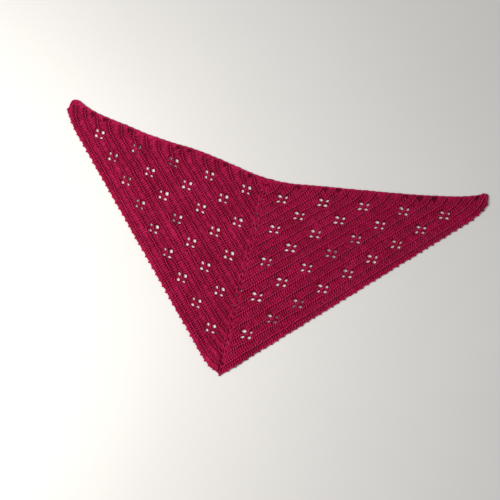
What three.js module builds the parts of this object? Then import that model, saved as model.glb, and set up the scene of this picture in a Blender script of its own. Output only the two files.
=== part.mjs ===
import * as THREE from 'three';

// A triangular crochet shawl laid flat, in millimetres. X runs from the left wing tip to the right one,
// Y runs up the spine from the lower point to the neck, and Z runs up from the surface it lies on.
// The rows are chevrons. Each one climbs from the spine out to the long top edge, and each second row
// carries a raised ridge. Flowers of four holes are cut through both wings.

// Cloth
const clothThickness = 2.0;
const ridgeRise = 1.1;
const ridgeHalfWidth = 2.3;
const seamGap = 0.3;

// Rows. One repeat is two rows, from one ridge to the next, counted outward from the neck.
const repeatDepth = 21.9;
const ridgeCount = 16;
const edgeRepeat = 16.58;
const leftSlope = { atNeck: 46.2, atEdge: 47.2 };
const rightSlope = { atNeck: 41.0, atEdge: 44.1 };
const stationPitch = 27;
const meshStationPitch = 35;
const ridgeRunOut = 6;
const closestStations = 4;
const hookStations = [0.35, 0.7];
const noseRepeat = 16.3;

// The spine's middle line, its half width, and its rib, which swells once in each repeat.
const spineTop = { x: 11, y: 5 };
const spineFoot = { x: 5, y: -509 };
const spineHalfWidth = 5;
const spineSteps = 34;
const spineRibHalfWidth = 2.0;
const spineRibRise = 0.6;
const spineKnotRise = 1.3;

// Where each row leaves the spine: its height on the left and on the right, and how far the hand that
// laid the shawl down pushed the start of the left row up.
const rowStarts = [
  { repeat: 0, left: -8, right: -10, bend: 0 },
  { repeat: 2, left: -68, right: -73, bend: 0 },
  { repeat: 5, left: -160, right: -156, bend: 0 },
  { repeat: 8, left: -252, right: -243, bend: 0 },
  { repeat: 11, left: -350, right: -335, bend: 2 },
  { repeat: 14, left: -446, right: -432, bend: 9 },
  { repeat: 16, left: -509, right: -493.5, bend: 18 },
  { repeat: 16.58, left: -526.5, right: -511, bend: 19 },
];

// Where each row ends on the long top edge. The last stations go round the wing tips.
const rowEnds = [
  { repeat: 0, leftX: 5.8, leftY: 5.6, rightX: 16.2, rightY: 4.6 },
  { repeat: 1, leftX: -24, leftY: 9.2, rightX: 51, rightY: 3.9 },
  { repeat: 2, leftX: -58, leftY: 16.2, rightX: 88, rightY: 6.6 },
  { repeat: 4, leftX: -128, leftY: 30.5, rightX: 160, rightY: 16.5 },
  { repeat: 6, leftX: -195, leftY: 41.5, rightX: 229, rightY: 25 },
  { repeat: 8, leftX: -257, leftY: 46.2, rightX: 299, rightY: 34 },
  { repeat: 10, leftX: -325, leftY: 54.4, rightX: 370, rightY: 43.5 },
  { repeat: 12, leftX: -397, leftY: 68, rightX: 444.6, rightY: 55.2 },
  { repeat: 14, leftX: -469, leftY: 81.8, rightX: 520, rightY: 70.3 },
  { repeat: 15, leftX: -505, leftY: 94.5, rightX: 556, rightY: 81 },
  { repeat: 16, leftX: -531, leftY: 106.5, rightX: 581.5, rightY: 92 },
  { repeat: 16.3, leftX: -543.5, leftY: 101.5, rightX: 588.5, rightY: 87 },
  { repeat: 16.58, leftX: -548, leftY: 85, rightX: 590.5, rightY: 75 },
];

// Near the top edge each row hooks up, over a reach that grows towards the wing tips.
const hookReach = { inner: 40, outer: 75, growsFrom: 13, growsOver: 3 };
const hookShare = 0.9;
const bendReach = 65;

// Flowers: how far along its row the first one stands from the spine, and the step to the next.
const firstFlowerRepeat = 2.34;
const firstFlowerRidge = 2;
const flowerRowStep = 3;
const flowerRows = [
  { flowers: 1, leftFirst: 59, leftStep: 73, rightFirst: 63.5, rightStep: 73.4 },
  { flowers: 3, leftFirst: 61.5, leftStep: 73, rightFirst: 62, rightStep: 73.4 },
  { flowers: 5, leftFirst: 63.5, leftStep: 72.4, rightFirst: 59.5, rightStep: 73.9 },
  { flowers: 7, leftFirst: 65.5, leftStep: 73.3, rightFirst: 57, rightStep: 74.3 },
  { flowers: 9, leftFirst: 64, leftStep: 74.6, rightFirst: 54, rightStep: 75.3 },
];

// The three mesh rows of a flower and their holes. Depth is outward from the flower's middle, place is
// along the row, and each hole is a six-sided one: its half length, the half length of its flat sides,
// and how far it opens towards the neck and outward.
const holeRows = [
  { depth: -10.6, places: [-0.6], half: 5.2, flat: 2.4, neckward: 3.7, outward: 3.6 },
  { depth: 0.6, places: [-12, 12], half: 4.7, flat: 2.1, neckward: 2.7, outward: 3.1 },
  { depth: 9.9, places: [0.7], half: 4.7, flat: 2.1, neckward: 3.2, outward: 3.1 },
];
const holeVariation = 0.1;

// Ridges step round a flower: the one above it dips between the holes, the one below swings out.
const ridgeDip = 4.4;
const ridgeSwing = 2.0;
const ridgeMarks = [-11, 0, 11];

// Picot edging on the two lower edges.
const picotPitch = 18.3;
const picotBand = 2.6;
const picotOutline = [
  { share: 0.18, rise: 0 },
  { share: 0.36, rise: 3.6 },
  { share: 0.56, rise: 5.0 },
  { share: 0.86, rise: 0 },
];
const tipPicotY = -518;

// Soft folds that stand up from the floor: middle, turn from +X in degrees, half length, half width
// and height.
const folds = [
  { x: -340, y: -62, turn: -43, reach: 130, width: 40, height: 5.0 },
  { x: -336, y: 8, turn: -56, reach: 62, width: 26, height: 4.2 },
  { x: -250, y: -8, turn: -62, reach: 58, width: 24, height: 3.8 },
  { x: -288, y: -172, turn: -48, reach: 92, width: 27, height: 4.6 },
  { x: -207, y: -160, turn: -44, reach: 60, width: 25, height: 3.6 },
  { x: -212, y: -268, turn: -46, reach: 78, width: 26, height: 4.4 },
  { x: -86, y: -424, turn: -60, reach: 56, width: 26, height: 4.6 },
  { x: -24, y: -474, turn: -76, reach: 52, width: 25, height: 7.0 },
  { x: 36, y: -470, turn: 62, reach: 50, width: 24, height: 4.4 },
  { x: 104, y: -368, turn: 44, reach: 66, width: 28, height: 5.0 },
  { x: 158, y: -302, turn: 42, reach: 62, width: 25, height: 3.4 },
  { x: 232, y: -138, turn: 36, reach: 88, width: 32, height: 3.2 },
  { x: 66, y: -232, turn: 58, reach: 72, width: 27, height: 2.8 },
  { x: 338, y: 4, turn: 24, reach: 92, width: 30, height: 2.8 },
  { x: -524, y: 66, turn: 66, reach: 44, width: 26, height: 6.0 },
  { x: 566, y: 52, turn: 52, reach: 48, width: 22, height: 4.0 },
];

const clothColour = 0x8d1338;
const clothRoughness = 0.85;

const degrees = Math.PI / 180;

// Smooth value of one column of a table at a repeat.
function lookUp(table, column, repeat) {
  let i = 0;
  while (i < table.length - 2 && repeat > table[i + 1].repeat) i += 1;
  const from = table[i];
  const to = table[i + 1];
  const before = table[Math.max(i - 1, 0)];
  const after = table[Math.min(i + 2, table.length - 1)];
  const step = to.repeat - from.repeat;
  const slopeIn = (to[column] - before[column]) / (to.repeat - before.repeat);
  const slopeOut = (after[column] - from[column]) / (after.repeat - from.repeat);
  const t = (repeat - from.repeat) / step;
  const swing = t * (1 - t);
  const ease = t * t * (3 - 2 * t);
  const level = from[column] + (to[column] - from[column]) * ease;
  return level + step * swing * (slopeIn * (1 - t) - slopeOut * t);
}

// Where the spine's middle line stands at a height.
function spineX(y) {
  const share = (y - spineTop.y) / (spineFoot.y - spineTop.y);
  return spineTop.x + share * (spineFoot.x - spineTop.x);
}

// Height of the cloth's underside over the floor.
function liftAt(x, y) {
  let lift = 0;
  for (const fold of folds) {
    const c = Math.cos(fold.turn * degrees);
    const s = Math.sin(fold.turn * degrees);
    const along = Math.abs((x - fold.x) * c + (y - fold.y) * s) / fold.reach;
    const across = Math.abs((y - fold.y) * c - (x - fold.x) * s) / fold.width;
    if (along < 1 && across < 1) {
      lift += fold.height * Math.cos((along * Math.PI) / 2) ** 2 * Math.cos((across * Math.PI) / 2) ** 2;
    }
  }
  return lift;
}

// One row of a wing: side is -1 on the left and 1 on the right.
class Row {
  constructor(side, repeat) {
    const slope = side < 0 ? leftSlope : rightSlope;
    const angle = (slope.atNeck + ((slope.atEdge - slope.atNeck) * repeat) / edgeRepeat) * degrees;
    this.bend = side < 0 ? lookUp(rowStarts, 'bend', repeat) : 0;
    const startY = lookUp(rowStarts, side < 0 ? 'left' : 'right', repeat);
    const endX = lookUp(rowEnds, side < 0 ? 'leftX' : 'rightX', repeat);
    const endY = lookUp(rowEnds, side < 0 ? 'leftY' : 'rightY', repeat);
    this.start = new THREE.Vector2(spineX(startY + this.bend) + side * spineHalfWidth, startY);
    this.along = new THREE.Vector2(side * Math.cos(angle), Math.sin(angle));
    this.inward = new THREE.Vector2(-side * Math.sin(angle), Math.cos(angle));
    const run = new THREE.Vector2(endX, endY).sub(this.start);
    this.length = run.dot(this.along);
    this.hook = run.dot(this.inward);
    const grown = THREE.MathUtils.clamp((repeat - hookReach.growsFrom) / hookReach.growsOver, 0, 1);
    const reach = hookReach.inner + (hookReach.outer - hookReach.inner) * grown;
    this.reach = Math.min(reach, hookShare * this.length);
  }

  // The point a distance along the row, moved outward across it.
  at(distance, outward = 0) {
    const spot = this.plain(distance);
    if (outward === 0) return spot;
    const normal = this.plain(distance + 1).sub(this.plain(distance - 1)).normalize();
    const side = Math.sign(this.along.x);
    return spot.add(new THREE.Vector2(normal.y, -normal.x).multiplyScalar(side * outward));
  }

  plain(distance) {
    const hooked = Math.max(0, 1 - (this.length - distance) / this.reach) ** 2;
    const bent = Math.max(0, 1 - distance / bendReach) ** 2;
    const spot = this.start.clone().addScaledVector(this.along, distance);
    spot.addScaledVector(this.inward, this.hook * hooked);
    spot.y += this.bend * bent;
    return spot;
  }

  // How far along this row a given point stands.
  distanceOf(spot) {
    return spot.clone().sub(this.start).dot(this.along);
  }
}

// A closed wall of cloth, built from spots that each have a top and an underside.
class Wall {
  constructor() {
    this.coordinates = [];
    this.faces = [];
  }

  vertex(x, y, z) {
    this.coordinates.push(x, y, z);
    return this.coordinates.length / 3 - 1;
  }

  spot(place, rise = 0, withUnderside = true) {
    const lift = liftAt(place.x, place.y);
    const top = this.vertex(place.x, place.y, lift + clothThickness + rise);
    const under = withUnderside ? this.vertex(place.x, place.y, lift) : top;
    return { x: place.x, y: place.y, top, under };
  }

  face(a, b, c) {
    if (a !== b && b !== c && c !== a) this.faces.push(a, b, c);
  }

  // Fills the strip between two lines that run the same way, the second one further out.
  strip(inner, outer, layer, along, side) {
    const measure = (spot) => spot.x * along.x + spot.y * along.y;
    const upwards = (layer === 'top') === side > 0;
    let i = 0;
    let j = 0;
    while (i < inner.length - 1 || j < outer.length - 1) {
      const innerNext = i < inner.length - 1 ? measure(inner[i + 1]) : Infinity;
      const outerNext = j < outer.length - 1 ? measure(outer[j + 1]) : Infinity;
      const a = inner[i][layer];
      const b = outer[j][layer];
      let c;
      if (innerNext <= outerNext) {
        i += 1;
        c = inner[i][layer];
      } else {
        j += 1;
        c = outer[j][layer];
      }
      if (upwards) this.face(a, b, c);
      else this.face(a, c, b);
    }
  }

  // Walls along a loop of spots, with the cloth on the left hand going round.
  rim(loop) {
    loop.forEach((spot, i) => {
      const next = loop[(i + 1) % loop.length];
      this.face(spot.under, next.under, next.top);
      this.face(spot.under, next.top, spot.top);
    });
  }

  mesh(name) {
    const geometry = new THREE.BufferGeometry();
    geometry.setAttribute('position', new THREE.Float32BufferAttribute(this.coordinates, 3));
    geometry.setIndex(this.faces);
    geometry.computeVertexNormals();
    const looks = { color: clothColour, roughness: clothRoughness, metalness: 0 };
    const mesh = new THREE.Mesh(geometry, new THREE.MeshStandardMaterial(looks));
    mesh.name = name;
    return mesh;
  }
}

// Middles of a wing's flowers, row by row.
function flowersOf(side) {
  return flowerRows.map((entry, index) => {
    const repeat = firstFlowerRepeat + flowerRowStep * index;
    const row = new Row(side, repeat);
    const first = side < 0 ? entry.leftFirst : entry.rightFirst;
    const step = side < 0 ? entry.leftStep : entry.rightStep;
    const middles = Array.from({ length: entry.flowers }, (_, k) => row.at(first + step * k));
    return { repeat, middles };
  });
}

// Distances along a row at which its line has a spot: both ends, the given marks, and fill between.
function stationsOf(row, marks) {
  const hooked = hookStations.map((share) => row.length - row.reach * share);
  const wanted = [0, ridgeRunOut, ...marks, ...hooked, row.length - ridgeRunOut].sort((a, b) => a - b);
  const kept = wanted.filter((s, i) => marks.includes(s) || i === 0 || s - wanted[i - 1] > closestStations);
  kept.push(row.length);
  const stations = [];
  kept.forEach((from, i) => {
    stations.push(from);
    if (i === kept.length - 1) return;
    const gap = kept[i + 1] - from;
    const pieces = Math.max(1, Math.round(gap / stationPitch));
    for (let k = 1; k < pieces; k += 1) stations.push(from + (gap * k) / pieces);
  });
  return stations;
}

// A raised ridge: its two foot lines and its crest, which all meet at both of its ends.
function makeRidge(wall, side, repeat, flowers) {
  const row = new Row(side, repeat);
  const below = flowers[(repeat - firstFlowerRidge) / flowerRowStep];
  const above = flowers[(repeat - firstFlowerRidge - 1) / flowerRowStep];
  const middles = ((below ?? above)?.middles ?? []).map((middle) => row.distanceOf(middle));
  const shift = below ? ridgeDip : ridgeSwing;
  const marks = middles.flatMap((middle) => ridgeMarks.map((mark) => middle + mark));
  const stations = stationsOf(row, marks);
  const crest = [];
  const innerFoot = [];
  const outerFoot = [];
  stations.forEach((station, i) => {
    const atEnd = i === 0 || i === stations.length - 1;
    const moved = middles.includes(station) ? shift : 0;
    const spot = wall.spot(row.at(station, moved), atEnd ? 0 : ridgeRise);
    crest.push(spot);
    innerFoot.push(atEnd ? spot : wall.spot(row.at(station, moved - ridgeHalfWidth), 0, false));
    outerFoot.push(atEnd ? spot : wall.spot(row.at(station, moved + ridgeHalfWidth), 0, false));
  });
  return { row, crest, innerFoot, outerFoot };
}

// A row of mesh: where a hole stands, its neckward and outward sides part and meet again.
function makeMeshRow(wall, side, flowerRow, holeRow, seed) {
  const row = new Row(side, flowerRow.repeat + holeRow.depth / repeatDepth);
  const inner = [];
  const outer = [];
  const holes = [];
  const both = (spot) => {
    inner.push(spot);
    outer.push(spot);
    return spot;
  };
  both(wall.spot(row.at(0)));
  let previous = 0;
  const fillTo = (distance) => {
    const gap = distance - previous;
    const pieces = Math.round(gap / meshStationPitch);
    for (let k = 1; k < pieces; k += 1) both(wall.spot(row.at(previous + (gap * k) / pieces)));
  };
  flowerRow.middles.forEach((middle, flower) => {
    holeRow.places.forEach((place, k) => {
      const centre = row.distanceOf(middle) + place;
      const size = 1 + holeVariation * Math.sin(7 * flower + 3 * k + seed);
      fillTo(centre - holeRow.half * size);
      const near = both(wall.spot(row.at(centre - holeRow.half * size)));
      const corner = (end, opening) => wall.spot(row.at(centre + end * holeRow.flat, opening * size));
      const innerSide = [-1, 1].map((end) => corner(end, -holeRow.neckward));
      const outerSide = [-1, 1].map((end) => corner(end, holeRow.outward));
      inner.push(...innerSide);
      outer.push(...outerSide);
      const far = both(wall.spot(row.at(centre + holeRow.half * size)));
      holes.push([near, ...innerSide, far, ...outerSide.reverse()]);
      previous = centre + holeRow.half * size;
    });
  });
  fillTo(row.length);
  both(wall.spot(row.at(row.length)));
  return { row, inner, outer, holes };
}

// A plain row line, with no relief.
function makeLine(wall, side, repeat) {
  const row = new Row(side, repeat);
  const line = stationsOf(row, []).map((station) => wall.spot(row.at(station)));
  return { row, crest: line, innerFoot: line, outerFoot: line };
}

// The rounded corner of a wing tip, past the ends of the last ridge and the edge row.
function addNose(wall, side, ridgeEnd, edgeEnd) {
  const row = new Row(side, noseRepeat);
  const nose = wall.spot(row.at(row.length));
  wall.strip([ridgeEnd, nose], [edgeEnd], 'top', row.along, side);
  wall.strip([ridgeEnd, nose], [edgeEnd], 'under', row.along, side);
  return nose;
}

function makeWing(side, name) {
  const wall = new Wall();
  const flowers = flowersOf(side);
  const ridges = [makeLine(wall, side, 0)];
  for (let repeat = 1; repeat <= ridgeCount; repeat += 1) ridges.push(makeRidge(wall, side, repeat, flowers));
  ridges.push(makeLine(wall, side, edgeRepeat));
  const meshRows = flowers.flatMap((entry, f) => holeRows.map((holes, h) => {
    const made = makeMeshRow(wall, side, entry, holes, f + 2 * h);
    return { ...made, repeat: entry.repeat + holes.depth / repeatDepth };
  }));
  const starts = [ridges[0].crest[0]];
  const ends = [ridges[0].crest.at(-1)];
  for (let i = 1; i < ridges.length; i += 1) {
    const from = ridges[i - 1];
    const to = ridges[i];
    const between = meshRows.filter((mesh) => mesh.repeat > i - 1 && mesh.repeat < i);
    let topLine = from.outerFoot;
    let underLine = from.crest;
    for (const mesh of between) {
      wall.strip(topLine, mesh.inner, 'top', to.row.along, side);
      wall.strip(underLine, mesh.inner, 'under', to.row.along, side);
      topLine = mesh.outer;
      underLine = mesh.outer;
      starts.push(mesh.inner[0]);
      ends.push(mesh.inner.at(-1));
    }
    wall.strip(topLine, to.innerFoot, 'top', to.row.along, side);
    wall.strip(underLine, to.crest, 'under', to.row.along, side);
    wall.strip(to.innerFoot, to.crest, 'top', to.row.along, side);
    wall.strip(to.crest, to.outerFoot, 'top', to.row.along, side);
    starts.push(to.crest[0]);
    if (i === ridges.length - 1) ends.push(addNose(wall, side, from.crest.at(-1), to.crest.at(-1)));
    ends.push(to.crest.at(-1));
  }
  const neckLine = ridges[0].crest.slice(1, -1).reverse();
  const edgeLine = ridges.at(-1).crest.slice(1, -1);
  const outline = [...starts, ...edgeLine, ...ends.reverse(), ...neckLine];
  wall.rim(side > 0 ? outline : outline.reverse());
  for (const mesh of meshRows) {
    for (const hole of mesh.holes) wall.rim(side > 0 ? hole : hole.reverse());
  }
  return wall.mesh(name);
}

// The line on which the spine ends, between the starts of the two edge rows.
function footLine() {
  const left = new Row(-1, edgeRepeat).plain(0);
  const right = new Row(1, edgeRepeat).plain(0);
  return { y: (left.y + right.y) / 2, tilt: (right.y - left.y) / (right.x - left.x) };
}

// The spine: a narrow band with a rib down its middle and a knot on each row.
function makeSpine() {
  const wall = new Wall();
  const half = spineHalfWidth - seamGap;
  const columns = [-half, -spineRibHalfWidth, 0, spineRibHalfWidth, half];
  const foot = footLine();
  const rows = [];
  for (let i = 0; i <= spineSteps; i += 1) {
    const middle = spineTop.y + ((foot.y - spineTop.y) * i) / spineSteps;
    const atEnd = i === 0 || i === spineSteps;
    const tilt = i === spineSteps ? foot.tilt : 0;
    const ribRise = i % 2 === 1 ? spineKnotRise : spineRibRise;
    rows.push(columns.map((offset) => {
      const place = { x: spineX(middle) + offset, y: middle + tilt * offset };
      const onBorder = atEnd || Math.abs(offset) === half;
      return wall.spot(place, offset === 0 && !atEnd ? ribRise : 0, onBorder);
    }));
  }
  const across = new THREE.Vector2(1, 0);
  const borderOf = (line, i) => (i === 0 || i === spineSteps ? line : [line[0], line.at(-1)]);
  rows.slice(1).forEach((row, i) => {
    wall.strip(rows[i], row, 'top', across, 1);
    wall.strip(borderOf(rows[i], i), borderOf(row, i + 1), 'under', across, 1);
  });
  const left = rows.map((row) => row[0]);
  const right = rows.map((row) => row.at(-1));
  const footEdge = rows.at(-1).slice(1, -1);
  const headEdge = rows[0].slice(1, -1);
  wall.rim([...left, ...footEdge, ...right.reverse(), ...headEdge.reverse()]);
  return wall.mesh('center_spine');
}

// The picot edging of one lower edge: a narrow band that carries a row of small points.
function makePicotEdge(side, name) {
  const wall = new Wall();
  const row = new Row(side, edgeRepeat);
  const seamX = spineX(spineFoot.y) + side * seamGap * 0.5;
  const inner = [wall.spot({ x: seamX, y: footLine().y - seamGap * 1.5 })];
  for (const station of stationsOf(row, [])) inner.push(wall.spot(row.at(station, seamGap)));
  const outer = [wall.spot({ x: seamX, y: tipPicotY })];
  const picots = Math.round((row.length - ridgeRunOut) / picotPitch);
  const pitch = (row.length - ridgeRunOut) / picots;
  for (let k = 0; k < picots; k += 1) {
    const from = ridgeRunOut + pitch * k;
    for (const corner of picotOutline) {
      outer.push(wall.spot(row.at(from + pitch * corner.share, picotBand + corner.rise)));
    }
  }
  wall.strip(inner, outer, 'top', row.along, side);
  wall.strip(inner, outer, 'under', row.along, side);
  const outline = [...outer, ...inner.reverse()];
  wall.rim(side > 0 ? outline : outline.reverse());
  return wall.mesh(name);
}

const shawl = new THREE.Group();
shawl.add(makeWing(-1, 'left_wing'));
shawl.add(makeWing(1, 'right_wing'));
shawl.add(makeSpine());
shawl.add(makePicotEdge(-1, 'left_picot_edge'));
shawl.add(makePicotEdge(1, 'right_picot_edge'));

// The frame's origin stands under the middle of the shawl's box.
const box = new THREE.Box3().setFromObject(shawl);
const middle = box.getCenter(new THREE.Vector3());
shawl.position.set(-middle.x, -middle.y, -box.min.z);

export default shawl;
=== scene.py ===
# %% [markdown]
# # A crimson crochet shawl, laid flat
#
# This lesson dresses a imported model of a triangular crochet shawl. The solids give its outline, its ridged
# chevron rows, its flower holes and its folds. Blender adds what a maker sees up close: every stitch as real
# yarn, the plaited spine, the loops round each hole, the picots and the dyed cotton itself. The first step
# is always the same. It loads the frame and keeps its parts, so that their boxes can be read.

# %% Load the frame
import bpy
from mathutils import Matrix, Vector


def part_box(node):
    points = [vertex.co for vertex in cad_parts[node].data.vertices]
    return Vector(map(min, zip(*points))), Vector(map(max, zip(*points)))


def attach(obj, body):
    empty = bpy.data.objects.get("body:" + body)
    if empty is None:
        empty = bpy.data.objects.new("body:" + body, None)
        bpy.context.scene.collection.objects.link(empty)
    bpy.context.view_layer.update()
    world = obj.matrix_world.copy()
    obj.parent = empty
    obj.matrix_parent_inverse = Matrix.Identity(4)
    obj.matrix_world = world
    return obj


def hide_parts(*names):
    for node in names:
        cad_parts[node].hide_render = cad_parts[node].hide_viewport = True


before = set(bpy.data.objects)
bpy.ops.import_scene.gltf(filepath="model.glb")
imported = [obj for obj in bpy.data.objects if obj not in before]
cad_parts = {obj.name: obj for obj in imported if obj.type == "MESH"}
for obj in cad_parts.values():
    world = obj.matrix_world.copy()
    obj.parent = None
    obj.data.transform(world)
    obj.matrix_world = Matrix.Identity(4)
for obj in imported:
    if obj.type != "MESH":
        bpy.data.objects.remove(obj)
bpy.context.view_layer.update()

# %% [markdown]
# ## Units and tools
#
# A crocheter measures in millimetres, and Blender in metres. Lengths below are written in millimetres and
# multiplied by MM, which keeps them readable. All the yarn is made in numpy arrays, many strands at a time,
# because a shawl has several thousand stitches and a Python loop over each of them would be slow.

# %% Units and tools
import math

import bpy
import numpy as np
from mathutils import Vector
from mathutils.geometry import delaunay_2d_cdt

MM = 0.001
LEFT, RIGHT = -1, 1
luck = np.random.default_rng(21)
print("numpy", np.__version__, "and Blender", bpy.app.version_string)

# %% [markdown]
# ## The camera
#
# The shawl is seen from almost straight above. The camera's place, its tilt and its lens were measured
# first, and it is set once from those values. So every later look at the shawl can be trusted to show it at
# the right size and angle.

# %% The camera
CAMERA_PLACE = Vector((0.0535, -0.3674, 1.8623))
CAMERA_TILT = math.radians(11.747)
CAMERA_ROLL = math.radians(-0.645)
CAMERA_TURN = math.radians(12.650)
CAMERA_LENS = 53.07
CAMERA_SENSOR = 36.0

camera_data = bpy.data.cameras.new("camera")
camera_data.lens = CAMERA_LENS
camera_data.sensor_width = CAMERA_SENSOR
camera = bpy.data.objects.new("camera", camera_data)
camera.location = CAMERA_PLACE
camera.rotation_euler = (CAMERA_TILT, CAMERA_ROLL, CAMERA_TURN)
bpy.context.scene.collection.objects.link(camera)
bpy.context.scene.camera = camera
print("camera height:", round(camera.location.z, 3), "m")

# %% [markdown]
# ## How the rows lie
#
# The shawl is worked from the neck outward. One repeat is two rows of stitches, and each repeat starts at the
# spine and climbs to the long top edge. The tables say where a row starts and ends at a few repeats, and
# the rows in between follow smoothly. They are the same driving sizes as the solids have, so that the yarn
# lies where the solids are.

# %% Driving sizes of the rows
REPEAT_DEPTH = 21.9 * MM
RIDGE_COUNT = 16
EDGE_REPEAT = 16.58
SLOPES = {LEFT: (46.2, 47.2), RIGHT: (41.0, 44.1)}
SPINE_TOP = np.array((11.0, 5.0)) * MM
SPINE_FOOT = np.array((5.0, -509.0)) * MM
SPINE_HALF_WIDTH = 5.0 * MM
SEAM_GAP = 0.3 * MM
HOOK_REACH = {"inner": 40 * MM, "outer": 75 * MM, "grows_from": 13, "grows_over": 3}
HOOK_SHARE = 0.9
BEND_REACH = 65 * MM

# repeat, height of the start on the left and on the right, and the push on the left one
ROW_STARTS = np.array((
    (0, -8, -10, 0),
    (2, -68, -73, 0),
    (5, -160, -156, 0),
    (8, -252, -243, 0),
    (11, -350, -335, 2),
    (14, -446, -432, 9),
    (16, -509, -493.5, 18),
    (16.58, -526.5, -511, 19),
))

# repeat, end of the left row, end of the right row
ROW_ENDS = np.array((
    (0, 5.8, 5.6, 16.2, 4.6),
    (1, -24, 9.2, 51, 3.9),
    (2, -58, 16.2, 88, 6.6),
    (4, -128, 30.5, 160, 16.5),
    (6, -195, 41.5, 229, 25),
    (8, -257, 46.2, 299, 34),
    (10, -325, 54.4, 370, 43.5),
    (12, -397, 68, 444.6, 55.2),
    (14, -469, 81.8, 520, 70.3),
    (15, -505, 94.5, 556, 81),
    (16, -531, 106.5, 581.5, 92),
    (16.3, -543.5, 101.5, 588.5, 87),
    (16.58, -548, 85, 590.5, 75),
))
START_COLUMN = {LEFT: 1, RIGHT: 2}
BEND_COLUMN = 3
END_COLUMNS = {LEFT: (1, 2), RIGHT: (3, 4)}

spine_high = np.array(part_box("center_spine")[1])[:2]
ORIGIN = spine_high - SPINE_TOP - np.array((SPINE_HALF_WIDTH - SEAM_GAP, 0))
print("the spine's top stands at", (ORIGIN + SPINE_TOP).round(4), "in the frame")


# %% A row as a line that can be asked for any point
def look_up(table, column, repeat):
    """Smooth value of one column of a table at each repeat."""
    stops, values = table[:, 0], table[:, column]
    i = np.clip(np.searchsorted(stops, repeat) - 1, 0, len(stops) - 2)
    before, after = np.maximum(i - 1, 0), np.minimum(i + 2, len(stops) - 1)
    step = stops[i + 1] - stops[i]
    slope_in = (values[i + 1] - values[before]) / (stops[i + 1] - stops[before])
    slope_out = (values[after] - values[i]) / (stops[after] - stops[i])
    t = (repeat - stops[i]) / step
    level = values[i] + (values[i + 1] - values[i]) * t * t * (3 - 2 * t)
    return level + step * t * (1 - t) * (slope_in * (1 - t) - slope_out * t)


def spine_x(y):
    """Where the spine's middle line stands at a height."""
    share = (y - SPINE_TOP[1]) / (SPINE_FOOT[1] - SPINE_TOP[1])
    return SPINE_TOP[0] + share * (SPINE_FOOT[0] - SPINE_TOP[0])


class Rows:
    """The rows of one wing at the given repeats. Each field is an array over them."""

    def __init__(self, side, repeat):
        repeat = np.asarray(repeat, float)
        at_neck, at_edge = SLOPES[side]
        angle = np.radians(at_neck + (at_edge - at_neck) * repeat / EDGE_REPEAT)
        start_y = look_up(ROW_STARTS, START_COLUMN[side], repeat) * MM
        bend = look_up(ROW_STARTS, BEND_COLUMN, repeat) * MM
        self.bend = bend if side == LEFT else np.zeros_like(repeat)
        start_x = spine_x(start_y + self.bend) + side * SPINE_HALF_WIDTH
        self.side = side
        self.start = np.stack([start_x, start_y], -1)
        self.along = np.stack([side * np.cos(angle), np.sin(angle)], -1)
        self.inward = np.stack([-side * np.sin(angle), np.cos(angle)], -1)
        ends = [look_up(ROW_ENDS, column, repeat) * MM for column in END_COLUMNS[side]]
        run = np.stack(ends, -1) - self.start
        self.length = (run * self.along).sum(-1)
        self.hook = (run * self.inward).sum(-1)
        grown = np.clip((repeat - HOOK_REACH["grows_from"]) / HOOK_REACH["grows_over"], 0, 1)
        reach = HOOK_REACH["inner"] + (HOOK_REACH["outer"] - HOOK_REACH["inner"]) * grown
        self.reach = np.minimum(reach, HOOK_SHARE * self.length)

    def plain(self, distance):
        """Points on the rows themselves, that far from the spine."""
        hooked = np.clip(1 - (self.length - distance) / self.reach, 0, None) ** 2
        bent = np.clip(1 - distance / BEND_REACH, 0, None) ** 2
        spot = self.start + self.along * distance[..., None]
        spot = spot + self.inward * (self.hook * hooked)[..., None]
        spot[..., 1] += self.bend * bent
        return spot

    def heading(self, distance):
        """Directions of the rows that far from the spine."""
        step = self.plain(distance + MM) - self.plain(distance - MM)
        return step / np.linalg.norm(step, axis=-1, keepdims=True)

    def outward(self, distance):
        """Directions across the rows, away from the neck."""
        heading = self.heading(distance)
        return self.side * np.stack([heading[..., 1], -heading[..., 0]], -1)

    def at(self, distance, moved=0.0):
        """Points on the rows, moved outward across them."""
        distance = np.asarray(distance, float)
        return self.plain(distance) + np.asarray(moved, float)[..., None] * self.outward(distance)

    def distance_of(self, spot):
        """How far from the spine a point stands, measured along these rows."""
        return ((spot - self.start) * self.along).sum(-1)


for side, name in ((LEFT, "left"), (RIGHT, "right")):
    print(name, "edge row:", round(float(Rows(side, EDGE_REPEAT).length), 3), "m long")

# %% [markdown]
# ## Folds
#
# Cloth that a hand has smoothed out on a floor never lies quite flat. It keeps soft rises where the yarn
# pushes against the floor, and they make the slow change of light over the wings. Each fold is one row of
# the table: its middle, the turn of its crest, half its length and width, and its height. The first ones
# are the solids' own folds. The low ones after them only tilt the surface a little, as the eye sees it.

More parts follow.
